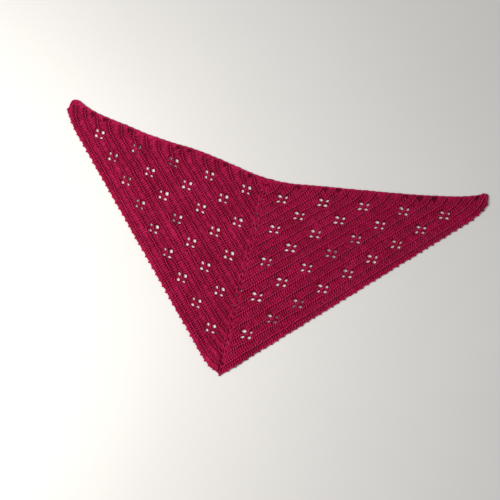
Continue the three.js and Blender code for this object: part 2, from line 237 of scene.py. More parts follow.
# %% Folds
# x and y of the middle, turn from +X in degrees, half length, half width, height
FOLDS = (
    (-340, -62, -43, 130, 40, 5.0),
    (-336, 8, -56, 62, 26, 4.2),
    (-250, -8, -62, 58, 24, 3.8),
    (-288, -172, -48, 92, 27, 4.6),
    (-207, -160, -44, 60, 25, 3.6),
    (-212, -268, -46, 78, 26, 4.4),
    (-86, -424, -60, 56, 26, 4.6),
    (-24, -474, -76, 52, 25, 7.0),
    (36, -470, 62, 50, 24, 4.4),
    (104, -368, 44, 66, 28, 5.0),
    (158, -302, 42, 62, 25, 3.4),
    (232, -138, 36, 88, 32, 3.2),
    (66, -232, 58, 72, 27, 2.8),
    (338, 4, 24, 92, 30, 2.8),
    (-524, 66, 66, 44, 26, 6.0),
    (566, 52, 52, 48, 22, 4.0),
    (-317, -12, -50, 34, 15, 2.8),
    (-236, -27, -52, 38, 14, 2.9),
    (-372, -47, -48, 30, 16, 2.8),
    (-283, -82, -45, 42, 15, 3.1),
    (-257, -162, -47, 34, 14, 2.7),
    (-187, -187, -44, 36, 15, 3.0),
    (-252, -241, -49, 28, 13, 2.8),
    (-192, -281, -47, 36, 14, 2.5),
    (-67, -435, -62, 30, 12, 2.6),
    (-6, -482, -82, 32, 11, 3.0),
    (120, -327, 43, 40, 13, 3.4),
    (172, -272, 41, 34, 12, 3.2),
    (262, -186, 40, 44, 14, 3.0),
    (176, -96, -62, 30, 16, 2.4),
    (402, -38, 36, 46, 15, 2.8),
    (470, 30, 30, 36, 14, 2.6),
    (-15, -462, -86, 46, 15, 2.6),
    (26, -458, 76, 42, 15, 1.8),
)


def lift_at(x, y):
    """Height of the cloth's underside over the floor."""
    lift = np.zeros_like(x)
    for fold_x, fold_y, turn, reach, width, height in FOLDS:
        c, s = math.cos(math.radians(turn)), math.sin(math.radians(turn))
        along = ((x - fold_x * MM) * c + (y - fold_y * MM) * s) / (reach * MM)
        across = ((y - fold_y * MM) * c - (x - fold_x * MM) * s) / (width * MM)
        rise = np.cos(np.clip(along, -1, 1) * np.pi / 2) ** 2
        lift += height * MM * rise * np.cos(np.clip(across, -1, 1) * np.pi / 2) ** 2
    return lift


def laid(spot, height):
    """Points of the shawl's own plane, set on the folds at a height and moved into the frame."""
    z = lift_at(spot[..., 0], spot[..., 1]) + height
    return np.concatenate([spot + ORIGIN, z[..., None]], -1)


print(len(FOLDS), "folds, the highest", max(fold[-1] for fold in FOLDS), "mm")

# %% [markdown]
# ## Flowers
#
# Each flower is a motif of three rows. The first leaves one gap of two chains, the second works three posts
# into it with a gap on each side, and the third leaves one gap under them. That makes four holes round a
# small cluster. A hole is kept here as an oval: its middle in the shawl's plane, its direction and its
# half sizes. The spine has smaller eyelets beside it, where each row's increases start.

# %% Holes of the flowers
FIRST_FLOWER_REPEAT = 2.34
FLOWER_ROW_STEP = 3
# flowers in the row, first and step on the left, first and step on the right
FLOWER_ROWS = (
    (1, 59, 73, 63.5, 73.4),
    (3, 61.5, 73, 62, 73.4),
    (5, 63.5, 72.4, 59.5, 73.9),
    (7, 65.5, 73.3, 57, 74.3),
    (9, 64, 74.6, 54, 75.3),
)
# place along the row and outward from the flower's middle, half length and width, turn outward in degrees
HOLE_SHAPES = {
    LEFT: (
        (-1.2, -10.7, 5.2, 4.9, 10),
        (-11.9, 0.5, 5.2, 2.9, 32),
        (11.8, -0.1, 5.3, 3.4, -6),
        (0.5, 9.9, 4.7, 4.1, 30),
    ),
    RIGHT: (
        (-0.8, -10.0, 5.8, 3.8, 40),
        (-12.1, -0.4, 5.6, 2.9, 20),
        (12.0, 1.3, 4.8, 3.2, 4),
        (1.3, 10.1, 5.2, 3.5, 28),
    ),
}
HOLE_VARIATION = 0.08
HOLE_TURN_VARIATION = 9.0


def flower_middles(side):
    """Middles of a wing's flowers and the repeat each stands at."""
    spots, repeats = [], []
    for index, entry in enumerate(FLOWER_ROWS):
        first, step = (entry[1:3] if side == LEFT else entry[3:5])
        repeat = FIRST_FLOWER_REPEAT + FLOWER_ROW_STEP * index
        distance = (first + step * np.arange(entry[0])) * MM
        spots.append(Rows(side, np.full(entry[0], repeat)).at(distance))
        repeats.append(np.full(entry[0], repeat))
    return np.concatenate(spots), np.concatenate(repeats)


def flower_holes(side):
    """Ovals of a wing's holes: middle, heading of the longer axis, half length, half width."""
    holes = []
    middles, repeats = flower_middles(side)
    n = len(middles)
    for place, depth, half_length, half_width, turn in HOLE_SHAPES[side]:
        row = Rows(side, repeats + depth * MM / REPEAT_DEPTH)
        distance = row.distance_of(middles) + place * MM
        angle = np.radians(turn + luck.normal(0, HOLE_TURN_VARIATION, (n, 1)))
        axis = np.cos(angle) * row.heading(distance) + np.sin(angle) * row.outward(distance)
        halves = np.array((half_length, half_width)) * MM * (1 + luck.normal(0, HOLE_VARIATION, (n, 2)))
        holes.append(np.column_stack([row.at(distance), axis, halves]))
    return np.concatenate(holes)


HOLES = {side: flower_holes(side) for side in (LEFT, RIGHT)}
print({side: len(holes) for side, holes in HOLES.items()}, "flower holes, left and right")

# %% Eyelets beside the spine
EYELET_STEP = 27.6 * MM
EYELET_FIRST = {LEFT: -37 * MM, RIGHT: -23 * MM}
EYELET_LAST = -448 * MM
EYELET_OFFSET = 3.9 * MM
EYELET_HALF = np.array((2.0, 1.15)) * MM
EYELET_WANDER = 0.5 * MM
EYELET_SIZES = (0.75, 1.1)


def spine_eyelets(side):
    """Ovals of the open eyelets on one side of the spine."""
    y = np.arange(EYELET_FIRST[side], EYELET_LAST, -EYELET_STEP)
    wander = luck.uniform(-EYELET_WANDER, EYELET_WANDER, (len(y), 2))
    middle = np.column_stack([spine_x(y) + side * EYELET_OFFSET, y]) + wander
    grown = luck.uniform(*EYELET_SIZES, (len(y), 1))
    return np.column_stack([middle, np.tile((0.0, 1.0), (len(y), 1)), grown * EYELET_HALF])


EYELETS = {side: spine_eyelets(side) for side in (LEFT, RIGHT)}
print({side: len(eyelets) for side, eyelets in EYELETS.items()}, "eyelets, left and right")

# %% [markdown]
# ## Yarn makes room for a hole
#
# Real stitches aren't cut where a hole is: they are pulled aside. Two small fields do the same. One moves
# the ridge over a flower outward, where its cluster pulls at it. The other pushes every point that would
# stand in a hole out to its rim, and the points next to the hole a little less.

# %% Fields that part the yarn
DIP = {"outward": -7.5, "half_along": 16.0, "half_across": 9.0, "shift": 4.4}
SWING = {"outward": 13.5, "half_along": 14.0, "half_across": 6.0, "shift": 2.0}
NEAR_FLOWER = 30 * MM
NEAR_HOLE = 14 * MM
# both as shares of a hole's size, and how slowly the push fades between them
RIM, PUSH_REACH = 1.12, 1.75
PUSH_FADE = 1.5
WAVER = 0.6 * MM
WAVER_LENGTHS = np.array((47, 31, 29, 53)) * MM


def swell(t):
    """A soft hump from -1 to 1."""
    return np.cos(np.clip(t, -1, 1) * np.pi / 2) ** 2


def wavering(spot):
    """How far points stray from their row: hands never pull two stitches quite alike."""
    x, y = spot[:, 0], spot[:, 1]
    aside = np.sin(2 * np.pi * (x / WAVER_LENGTHS[0] + y / WAVER_LENGTHS[1]))
    down = np.sin(2 * np.pi * (x / WAVER_LENGTHS[2] - y / WAVER_LENGTHS[3]))
    return WAVER * np.stack([aside, down], -1)


def pulled_by_flowers(side, spot):
    """Moves points outward where a flower pulls at its ridges, and lets all of them waver a little."""
    shape = spot.shape
    spot = spot.reshape(-1, 2).copy()
    spot += wavering(spot)
    middles, repeats = flower_middles(side)
    rows = Rows(side, repeats)
    for middle, along in zip(middles, rows.along):
        outward = side * np.array((along[1], -along[0]))
        near = np.abs(spot - middle).max(-1) < NEAR_FLOWER
        offset = spot[near] - middle
        u, v = offset @ along / MM, offset @ outward / MM
        shift = np.zeros(len(u))
        for pull in (DIP, SWING):
            across = swell((v - pull["outward"]) / pull["half_across"])
            shift += pull["shift"] * MM * swell(u / pull["half_along"]) * across
        spot[near] += shift[:, None] * outward
    return spot.reshape(shape)


def near_hole(spot, hole):
    """Numbers of the points that stand near a hole."""
    return np.where(np.abs(spot - hole[:2]).max(-1) < NEAR_HOLE)[0]


def hole_axes(hole):
    """Directions along a hole and across it."""
    return hole[2:4], np.array((-hole[3], hole[2]))


def oval_radius(spot, hole, grown=0.0):
    """How far points stand from a hole's middle, as a share of its size."""
    along, across = hole_axes(hole)
    offset = spot - hole[:2]
    return np.hypot(offset @ along / (hole[4] + grown), offset @ across / (hole[5] + grown))


def parted(spot, holes, grown=0.0):
    """Pushes points out of the holes, and those beside them a little."""
    shape = spot.shape
    spot = spot.reshape(-1, 2).copy()
    for hole in holes:
        near = near_hole(spot, hole)
        radius = np.maximum(oval_radius(spot[near], hole, grown), 1e-4)
        inside = radius < PUSH_REACH
        near, radius = near[inside], radius[inside]
        wanted = RIM + (PUSH_REACH - RIM) * (radius / PUSH_REACH) ** PUSH_FADE
        spot[near] = hole[:2] + (spot[near] - hole[:2]) * (wanted / radius)[:, None]
    return spot.reshape(shape)


print("rim at", RIM, "times a hole's size, yarn moved up to", PUSH_REACH, "times")

# %% [markdown]
# ## From a path to a strand
#
# A strand of yarn is a tube along a path. One function makes thousands of them together: it finds the
# direction of every path, sets a ring of points round each place on it and closes both ends. The UV map
# holds the length along the strand and the turn round it, which the material needs to twist the plies, and
# an attribute called tint gives each stitch its own slight shade. It also carries the painted shade and
# painted highlight set along posts, bars and hole loops. Collecting the strands of one piece in one mesh
# keeps the scene small and quick.

# %% Strands as one mesh
PLY_TURN = 5.0 * MM


class Skein:
    """Collects strands and turns them into one mesh."""

    def __init__(self):
        self.points, self.quads, self.uvs, self.tints = [], [], [], []
        self.count = 0

    def add(self, paths, radius, sides=5, flat=1.0, tint=None):
        """Adds tubes along paths, an array of strands by points by xyz."""
        n, m, _ = paths.shape
        step = np.gradient(paths, axis=1)
        step /= np.linalg.norm(step, axis=-1, keepdims=True)
        across = np.stack([step[..., 1], -step[..., 0], np.zeros((n, m))], -1)
        across /= np.maximum(np.linalg.norm(across, axis=-1, keepdims=True), 1e-9)
        over = np.cross(across, step)
        angle = 2 * np.pi * (np.arange(sides) + 0.5) / sides
        radius = np.broadcast_to(radius, (n, m))[..., None, None]
        wide = np.cos(angle)[:, None] * across[:, :, None]
        tall = np.sin(angle)[:, None] * over[:, :, None] * flat
        rings = paths[:, :, None] + radius * (wide + tall)
        stretch = np.linalg.norm(np.diff(paths, axis=1), axis=-1)
        travelled = np.concatenate([np.zeros((n, 1)), np.cumsum(stretch, 1)], 1) / PLY_TURN
        strand, along, around = np.meshgrid(
            np.arange(n), np.arange(m - 1), np.arange(sides), indexing="ij")
        near_ring = self.count + (strand * m + along) * sides
        far_ring = near_ring + sides
        turned = (around + 1) % sides
        quads = np.stack([
            near_ring + around,
            near_ring + turned,
            far_ring + turned,
            far_ring + around,
        ], -1).reshape(-1, 4)[:, ::-1]
        low = travelled[strand, along]
        high = travelled[strand, along + 1]
        near_turn, far_turn = around / sides, (around + 1) / sides
        uvs = np.stack([
            np.stack([low, near_turn], -1),
            np.stack([low, far_turn], -1),
            np.stack([high, far_turn], -1),
            np.stack([high, near_turn], -1),
        ], -2).reshape(-1, 4, 2)[:, ::-1]
        self.points.append(rings.reshape(-1, 3))
        self.quads.append(quads)
        self.uvs.append(uvs.reshape(-1, 2))
        self._cap(n, m, sides, travelled)
        tint = luck.normal(0, 1, n) if tint is None else np.asarray(tint, float)
        self.tints.append(np.repeat(np.broadcast_to(tint.reshape(n, -1), (n, m)), sides))
        self.count += n * m * sides

    def _cap(self, n, m, sides, travelled):
        """Closes both ends of each strand with one face each."""
        first = self.count + np.arange(n)[:, None] * m * sides + np.arange(sides)
        last = first + (m - 1) * sides
        for ring, at_end in ((first, False), (last[:, ::-1], True)):
            reach = travelled[:, m - 1 if at_end else 0]
            self.quads.append(ring)
            self.uvs.append(np.stack([np.repeat(reach, sides), np.tile(np.arange(sides) / sides, n)], -1))

    def triangles(self):
        """How many triangles the faces come to."""
        return sum(len(faces) * (faces.shape[1] - 2) for faces in self.quads)


def link(data, name):
    """Puts a mesh or a light in the scene as an object of that name."""
    thing = bpy.data.objects.new(name, data)
    bpy.context.scene.collection.objects.link(thing)
    return thing


def wound(skein, name):
    """Makes one smooth mesh object from all the strands of a skein."""
    mesh = bpy.data.meshes.new(name)
    points = np.concatenate(skein.points)
    loops = np.concatenate([faces.ravel() for faces in skein.quads])
    sizes = np.concatenate([np.full(len(faces), faces.shape[1]) for faces in skein.quads])
    starts = np.concatenate([[0], np.cumsum(sizes)[:-1]])
    mesh.vertices.add(len(points))
    mesh.vertices.foreach_set("co", points.astype(np.float32).ravel())
    mesh.loops.add(len(loops))
    mesh.loops.foreach_set("vertex_index", loops.astype(np.int32))
    mesh.polygons.add(len(sizes))
    mesh.polygons.foreach_set("loop_start", starts.astype(np.int32))
    mesh.polygons.foreach_set("loop_total", sizes.astype(np.int32))
    mesh.polygons.foreach_set("use_smooth", np.ones(len(sizes), bool))
    layer = mesh.uv_layers.new(name="yarn")
    layer.data.foreach_set("uv", np.concatenate(skein.uvs).astype(np.float32).ravel())
    tint = mesh.attributes.new("tint", "FLOAT", "POINT")
    tint.data.foreach_set("value", np.concatenate(skein.tints).astype(np.float32))
    mesh.update(calc_edges=True)
    mesh.validate()
    print(name, "has", skein.triangles(), "triangles")
    return link(mesh, name)


# %% [markdown]
# ## The ground of the cloth
#
# Behind the visible strands a crocheted cloth is closed by more of the same yarn. This ground is one thin
# closed shell over the whole shawl, on the same folds as the solids. It has the real outline with its picots,
# and all holes and eyelets are cut through it. Points on the rows are joined into triangles, the outline
# and the holes being edges that no triangle may cross, and the flat sheet is then given its thickness.

# %% Outline with picots
PICOT_PITCH = 18.3 * MM
PICOT_BAND = 2.6 * MM
RIDGE_RUN_OUT = 6 * MM
TIP_PICOT_Y = -518 * MM
TOP_BUMP = 0.7 * MM
TOP_OUTLINE_STEP = 0.125
# share of the pitch, rise above the band
PICOT_OUTLINE = ((0.2, 0.0), (0.3, 1.4), (0.38, 2.6), (0.48, 3.5), (0.57, 3.2), (0.7, 1.4), (0.82, 0.0))


def picot_starts(side):
    """Where the picots of a lower edge start, and how long each one is."""
    row = Rows(side, EDGE_REPEAT)
    count = round(float((row.length - RIDGE_RUN_OUT) / PICOT_PITCH))
    pitch = float(row.length - RIDGE_RUN_OUT) / count
    return RIDGE_RUN_OUT + pitch * np.arange(count), pitch


def lower_edge(side):
    """Outline of a lower edge, from beside the spine to the wing tip."""
    starts, pitch = picot_starts(side)
    share, rise = np.array(PICOT_OUTLINE).T
    distance = (starts[:, None] + pitch * share).ravel()
    outward = np.tile(PICOT_BAND + rise * MM, len(starts))
    return Rows(side, np.full(len(distance), EDGE_REPEAT)).at(distance, outward)


def top_edge(side):
    """Outline of the top edge, from the wing tip back to the neck."""
    repeat = np.arange(EDGE_REPEAT, 0.0, -TOP_OUTLINE_STEP)
    row = Rows(side, repeat)
    return row.at(row.length + TOP_BUMP * np.abs(np.sin(2 * np.pi * repeat)))


tip = [(spine_x(SPINE_FOOT[1]), TIP_PICOT_Y)]
OUTLINE = np.concatenate([
    tip, lower_edge(RIGHT), top_edge(RIGHT), [SPINE_TOP], top_edge(LEFT)[::-1], lower_edge(LEFT)[::-1]])
print("outline of", len(OUTLINE), "points")

# %% The ground as a shell with holes
GROUND_THICKNESS = 0.9 * MM
GROUND_RIDGE = 0.7 * MM
STITCH = 6.14 * MM
# lines of points in each repeat, the first and last repeat with such a line, and the room at both row ends
GROUND_ROWS = (0.0, 0.14, 0.3, 0.5, 0.7, 0.88)
GROUND_FIRST, GROUND_LAST = 0.05, EDGE_REPEAT - 0.06
GROUND_START, GROUND_END = 0.3 * STITCH, 0.4 * STITCH
HOLE_POINTS = 16
HOLE_CORNER = 1.55
EYELET_POINTS = 8
CLEARANCE = 1.3 * MM
CUT_GROWN = 0.25 * MM
BATCH = 2000
# the triangulation's own settings: only what the outline encloses, and how near is the same place in mm
INSIDE_ONLY, SAME_PLACE = 1, 1e-4


def cornered(value):
    """A sine or cosine that makes an oval a little pointed at its ends and sides."""
    return np.sign(value) * np.abs(value) ** HOLE_CORNER


def oval(hole, points, grown=0.0):
    """Points round a hole."""
    turn = 2 * np.pi * np.arange(points) / points
    along, across = hole_axes(hole)
    x = cornered(np.cos(turn)) * (hole[4] + grown)
    y = cornered(np.sin(turn)) * (hole[5] + grown)
    return hole[:2] + np.outer(x, along) + np.outer(y, across)


def inside_loop(points, loop):
    """Which points stand inside a closed line."""
    inside = np.zeros(len(points), bool)
    x, y = points.T
    for (ax, ay), (bx, by) in zip(loop, np.roll(loop, -1, 0)):
        crosses = (ay > y) != (by > y)
        meeting = ax + (y - ay) * (bx - ax) / np.where(by == ay, 1e-12, by - ay)
        inside ^= crosses & (x < meeting)
    return inside


def ground_points():
    """Points on the rows of both wings, with the height of the ground at each."""
    spots, heights = [], []
    lines = [repeat + share for repeat in range(RIDGE_COUNT + 1) for share in GROUND_ROWS]
    lines = [line for line in lines if GROUND_FIRST <= line <= GROUND_LAST]
    for side in (LEFT, RIGHT):
        for line in lines:
            length = float(Rows(side, line).length)
            distance = np.arange(GROUND_START, length - GROUND_END, STITCH)
            spot = Rows(side, np.full(len(distance), line)).at(distance)
            spots.append(pulled_by_flowers(side, spot))
            heights.append(np.full(len(distance), 0.0 if line % 1 else GROUND_RIDGE))
    return np.concatenate(spots), np.concatenate(heights)


def far_from(spots, line, distance):
    """Which points keep that far from the points of a line."""
    keep = np.ones(len(spots), bool)
    for start in range(0, len(spots), BATCH):
        part = spots[start:start + BATCH]
        gap = np.linalg.norm(part[:, None] - line[None], axis=-1).min(1)
        keep[start:start + BATCH] = gap > distance
    return keep


all_holes = [(hole, HOLE_POINTS) for side in HOLES for hole in HOLES[side]]
all_holes += [(hole, EYELET_POINTS) for side in EYELETS for hole in EYELETS[side]]
loops = [OUTLINE] + [oval(hole, points, CUT_GROWN) for hole, points in all_holes]
border = np.concatenate(loops)
spots, heights = ground_points()
keep = far_from(spots, border, CLEARANCE) & inside_loop(spots, OUTLINE)
for hole, _ in all_holes:
    near = near_hole(spots, hole)
    keep[near] &= oval_radius(spots[near], hole, CUT_GROWN) > 1.0
spots, heights = spots[keep], heights[keep]
edges, count = [], 0
for loop in loops:
    ring = np.arange(count, count + len(loop))
    edges += list(zip(ring.tolist(), np.roll(ring, -1).tolist()))
    count += len(loop)
flat_points = np.concatenate([border, spots])
flat_rise = np.concatenate([np.zeros(len(border)), heights])
made = delaunay_2d_cdt([Vector(p) for p in flat_points / MM], edges, [], INSIDE_ONLY, SAME_PLACE)
sheet_points = np.array([tuple(p) for p in made[0]]) * MM
sheet_rise = np.array([flat_rise[origin[0]] if origin else 0.0 for origin in made[3]])
sheet_faces = np.array([face for face in made[2] if len(face) == 3])
middles = sheet_points[sheet_faces].mean(1)
open_face = np.zeros(len(sheet_faces), bool)
for hole, points in all_holes:
    near = near_hole(middles, hole)
    open_face[near] |= inside_loop(middles[near], oval(hole, points, CUT_GROWN))
open_face |= ~inside_loop(middles, OUTLINE)
sheet_faces = sheet_faces[~open_face]
print("sheet of", len(sheet_faces), "triangles over", len(sheet_points), "points")


# %% Give the sheet its thickness
def thick_sheet(points, rise, faces, name):
    """A closed shell: the sheet, its underside, and a wall along every open edge."""
    a, b, c = (points[faces[:, k]] for k in range(3))
    turned = np.cross(b - a, c - a) < 0
    faces[turned] = faces[turned][:, ::-1]
    n = len(points)
    top = laid(points, GROUND_THICKNESS + rise)
    under = laid(points, np.zeros(n))
    sides = np.concatenate([faces[:, (0, 1)], faces[:, (1, 2)], faces[:, (2, 0)]])
    forward = {(int(i), int(j)) for i, j in sides}
    rim = np.array([(i, j) for i, j in forward if (j, i) not in forward])
    walls = np.column_stack([rim[:, 0] + n, rim[:, 1] + n, rim[:, 1], rim[:, 0]])
    mesh = bpy.data.meshes.new(name)
    everything = faces.tolist() + (faces[:, ::-1] + n).tolist() + walls.tolist()
    mesh.from_pydata(np.concatenate([top, under]).tolist(), [], everything)
    mesh.polygons.foreach_set("use_smooth", np.ones(len(everything), bool))
    mesh.update()
    mesh.validate()
    area = 0.5 * np.abs(np.cross(b - a, c - a)).sum()
    print(name, "has", 2 * len(faces) + 2 * len(walls), "triangles and covers", round(area, 4), "m2")
    return link(mesh, name), float(area)


ground, cloth_area = thick_sheet(sheet_points, sheet_rise, sheet_faces, "shawl_ground")

# %% [markdown]
# ## Posts
#
# The tall part of a stitch is its post, two turns of yarn wound once round each other. A post of a front row
# starts thin behind the ridge, where the dark dots are, leans and fills out. The post of the back row carries
# it on to the next ridge, and thins again before it. Both are made for a whole row together: one number
# counts the stitch along its row and one runs along the post. Stitches that have no foot of their own start
# at the row's end, which is how a row grows at the spine and at the top edge.

# %% Columns of stitches
POST_STEPS = 6
# where the front and the back posts start and end, in repeats from the ridge behind them
FRONT_SPAN, BACK_SPAN = (0.06, 0.53), (0.48, 1.0)
LEAN = {LEFT: 1.6 * MM, RIGHT: 3.2 * MM}
LEAN_SHARE = 0.42
BACK_LEAN = {LEFT: -1.4 * MM, RIGHT: 0.7 * MM}
BACK_LEAN_FROM = 0.55
# room that yarn keeps from a flower's hole, and posts as a whole, and yarn from an eyelet
YARN_ROOM, POST_ROOM, EYELET_ROOM = 0.9 * MM, 1.3 * MM, 0.8 * MM
ROW_END_MARGIN = 1.4 * MM
SPINE_MARGIN = -0.7 * MM
PAST_THE_START = -2.2 * MM
ROW_ENDS_SPARE = 0.25 * STITCH
TIP_FAN = 60 * MM
NOSE_POSTS = 5
NOSE_INSET = 7 * MM
NOSE_ROWS = (RIDGE_COUNT + 0.06, EDGE_REPEAT - 0.02)


def ridge_stitches(side, repeat):
    """How far from the spine each stitch of a ridge stands."""
    length = float(Rows(side, repeat).length)
    count = max(1, round(length / STITCH))
    return (np.arange(count) + 0.5) * length / count


def inside_row(distance, length):
    """Distances kept between the spine and the far end of a row."""
    return np.clip(distance, SPINE_MARGIN, np.maximum(length - ROW_END_MARGIN, ROW_END_MARGIN))


def post_lines(side, ridge, from_row, to_row, stitch, share):
    """Middle lines of the posts between two row lines, which stitches are real, and their rows.
    The stitches are counted on the next ridge, and share runs from a post's foot to its head."""
    next_ridge = min(ridge + 1.0, EDGE_REPEAT)
    top = Rows(side, np.full(len(stitch), next_ridge)).at(stitch)
    foot_row = Rows(side, np.full(len(stitch), from_row))
    head_row = Rows(side, np.full(len(stitch), to_row))
    foot, head = foot_row.distance_of(top), head_row.distance_of(top)
    if to_row == next_ridge:
        head = stitch
    real = (head > -ROW_ENDS_SPARE) & (head < head_row.length + ROW_ENDS_SPARE)
    if ridge == RIDGE_COUNT:
        near_tip = np.clip(1 - (head_row.length - head) / TIP_FAN, 0, 1)
        foot += near_tip * (head * foot_row.length / head_row.length - foot)
    foot = inside_row(foot, foot_row.length)
    head = inside_row(head, head_row.length)
    distance = foot[:, None] + (head - foot)[:, None] * share
    where = np.broadcast_to(from_row + (to_row - from_row) * share, distance.shape)
    t = where - ridge
    lean = LEAN[side] * np.clip(1 - t / LEAN_SHARE, 0, 1) ** 2
    lean = lean + BACK_LEAN[side] * np.clip((t - BACK_LEAN_FROM) / (1 - BACK_LEAN_FROM), 0, 1) ** 2
    rows = Rows(side, where)
    return rows, inside_row(distance + lean, rows.length), real


def missing(side, spot):
    """Which posts would stand in a hole, judged by their middles."""
    gone = np.zeros(len(spot), bool)
    for hole in HOLES[side]:
        near = near_hole(spot, hole)
        gone[near] |= oval_radius(spot[near], hole, POST_ROOM) < 1
    return gone


# %% Wind the posts
# widths, radii and heights in mm and painted shade, dark where posts dip under ridges, each from a post's
# foot to its head
FRONT, BACK = 0, 1
POST_WIDTH = {
    LEFT: ((0.45, 0.65, 1.15, 1.4, 1.45, 1.45), (1.48, 1.46, 1.44, 1.38, 1.2, 0.9)),
    RIGHT: ((0.4, 0.6, 1.15, 1.38, 1.42, 1.4), (1.4, 1.4, 1.4, 1.35, 1.15, 0.85)),
}
POST_RADIUS = {
    LEFT: ((0.8, 0.92, 1.3, 1.48, 1.5, 1.48), (1.48, 1.46, 1.42, 1.35, 1.18, 1.0)),
    RIGHT: ((0.8, 0.9, 1.25, 1.42, 1.45, 1.42), (1.42, 1.42, 1.4, 1.33, 1.15, 0.98)),
}
POST_HEIGHT = ((1.1, 1.42, 1.7, 1.82, 1.88, 1.82), (1.75, 1.8, 1.78, 1.7, 1.58, 1.4))
POST_PAINTED_SHADE = {
    LEFT: ((-1.5, -0.7, 0.0, 0.2, 0.3, 0.2), (0.2, 0.2, 0.1, 0.0, -0.4, -1.0)),
    RIGHT: ((-2.1, -1.1, 0.0, 0.2, 0.3, 0.2), (0.2, 0.2, 0.1, 0.0, -0.4, -1.0)),
}
# painted shade of each wing: the right one darker and the left lighter, as the light falls off across the
# shawl
PAINTED_WING_SHADE = {LEFT: 0.2, RIGHT: -0.9}
# start and turn of the winding in degrees, for front and back posts
WINDING = {LEFT: ((-110, 130), (20, 95)), RIGHT: ((-40, 150), (-40, 150))}
WINDING_HEIGHT = 0.42 * MM
BOTH_TURNS = (0.0, np.pi)
# how far stitches differ: aside in mm, as a share of the width, in winding, in height in mm and in dye
POST_WANDER, POST_WIDTHS, WINDING_VARIATION = 0.14, (0.92, 1.06), 0.2
POST_HEIGHT_VARIATION, TURN_TINT_VARIATION = 0.07, 0.3
PAST_THE_END = -0.2 * MM
# the gap between a turning chain and the first post beside it, and how many rows show it
TOP_GAP = 0.3 * STITCH
TOP_GAP_SHARE = {LEFT: 0.6, RIGHT: 0.3}


def post_strands(side, kind):
    """Both turns of yarn of all front or all back posts of a wing, as paths, radii and tints."""
    share = np.linspace(0, 1, POST_STEPS)
    width_line, radius_line = (np.array(table[side][kind]) * MM for table in (POST_WIDTH, POST_RADIUS))
    height_line = np.array(POST_HEIGHT[kind]) * MM
    wound_from, wound_by = WINDING[side][kind]
    painted_shade_line = np.array(POST_PAINTED_SHADE[side][kind]) + PAINTED_WING_SHADE[side]
    first, last = (FRONT_SPAN, BACK_SPAN)[kind]
    all_paths, all_radii, all_tints = [], [], []
    for ridge in range(RIDGE_COUNT + 1 if kind == FRONT else RIDGE_COUNT):
        to_row = EDGE_REPEAT if ridge == RIDGE_COUNT else ridge + last
        stitch = ridge_stitches(side, min(ridge + 1.0, EDGE_REPEAT))
        rows, distance, real = post_lines(side, ridge, ridge + first, to_row, stitch, share)
        n = len(stitch)
        wander = luck.normal(0, POST_WANDER, (n, 1)) * MM
        width = width_line * luck.uniform(*POST_WIDTHS, (n, 1))
        winding = np.radians(wound_from + wound_by * share) + luck.normal(0, WINDING_VARIATION, (n, 1))
        height = height_line + luck.normal(0, POST_HEIGHT_VARIATION, (n, 1)) * MM
        shade = luck.normal(0, 1, n)
        centre = pulled_by_flowers(side, rows.at(distance + wander))
        real &= ~missing(side, centre[:, POST_STEPS // 2])
        if 0 < ridge < RIDGE_COUNT and kind == FRONT and luck.random() < TOP_GAP_SHARE[side]:
            real &= distance[:, 0] < rows.length[:, 0] - TOP_GAP
        for turn in BOTH_TURNS:
            swing = width * np.cos(winding + turn)
            aside = np.clip(distance + wander + swing, PAST_THE_START, rows.length + PAST_THE_END)
            path = parted(pulled_by_flowers(side, rows.at(aside)), HOLES[side], YARN_ROOM)
            path = parted(path, EYELETS[side], EYELET_ROOM)
            all_paths.append(laid(path, height + WINDING_HEIGHT * np.sin(winding + turn))[real])
            all_radii.append(np.broadcast_to(radius_line, (n, POST_STEPS))[real])
            own = shade[real] + luck.normal(0, TURN_TINT_VARIATION, real.sum())
            # the stitch's own random shade of dye, plus the painted shade along its post and of its wing
            all_tints.append(own[:, None] + painted_shade_line)
    return np.concatenate(all_paths), np.concatenate(all_radii), np.concatenate(all_tints)


# %% Posts that fan out
FAN_SPAN = (0.14, 0.94)


def fan_posts(centre, targets):
    """Posts that spread from one point, where a row turns sharply."""
    share = np.linspace(*FAN_SPAN, POST_STEPS)
    reach = (targets - centre)[:, None]
    heading = reach / np.linalg.norm(reach, axis=-1, keepdims=True)
    across = np.stack([-heading[..., 1], heading[..., 0]], -1)
    line = centre + reach * share[:, None]
    wound_from, wound_by = WINDING[RIGHT][FRONT]
    winding = np.radians(wound_from + wound_by * share)
    paths = []
    for turn in BOTH_TURNS:
        swing = np.array(POST_WIDTH[RIGHT][FRONT]) * MM * np.cos(winding + turn)
        height = np.array(POST_HEIGHT[FRONT]) * MM + WINDING_HEIGHT * np.sin(winding + turn)
        paths.append(laid(line + swing[:, None] * across, np.broadcast_to(height, line.shape[:2])))
    return np.concatenate(paths), np.array(POST_RADIUS[RIGHT][FRONT]) * MM


POST_FLATNESS = 0.85
yarn_pieces = []
for side, name in ((LEFT, "left"), (RIGHT, "right")):
    for kind, row_name in ((FRONT, "front"), (BACK, "back")):
        skein = Skein()
        paths, radii, tints = post_strands(side, kind)
        skein.add(paths, radii, flat=POST_FLATNESS, tint=tints)
        if kind == FRONT:
            last_ridge = Rows(side, np.array(float(RIDGE_COUNT)))
            nose = Rows(side, np.linspace(*NOSE_ROWS, NOSE_POSTS))
            centre = last_ridge.at(last_ridge.length - NOSE_INSET)
            skein.add(*fan_posts(centre, nose.at(nose.length)), flat=POST_FLATNESS)
        yarn_pieces.append(wound(skein, f"{name}_{row_name}_posts"))

# %% [markdown]
# ## Ridges
#
# The heads of the stitches lie over each other like the turns of a rope, and a ridge is a whole row of them.
# One plump slanted bar for each stitch gives the bright line with its small steps that runs along every
# second row. Wear and a painted highlight lighten the line, and painted shade darkens the ends of the bars.

# %% Ridge bars
RIDGE_STEPS = 7
BAR_HALF = 3.2 * MM
BAR_SLANT = 1.25 * MM
BAR_HEIGHT = 2.3 * MM
BAR_ARCH = 1.2 * MM
BAR_DROP = 0.35 * MM
BAR_RADIUS = 1.45 * MM
BAR_TAPER = 0.5
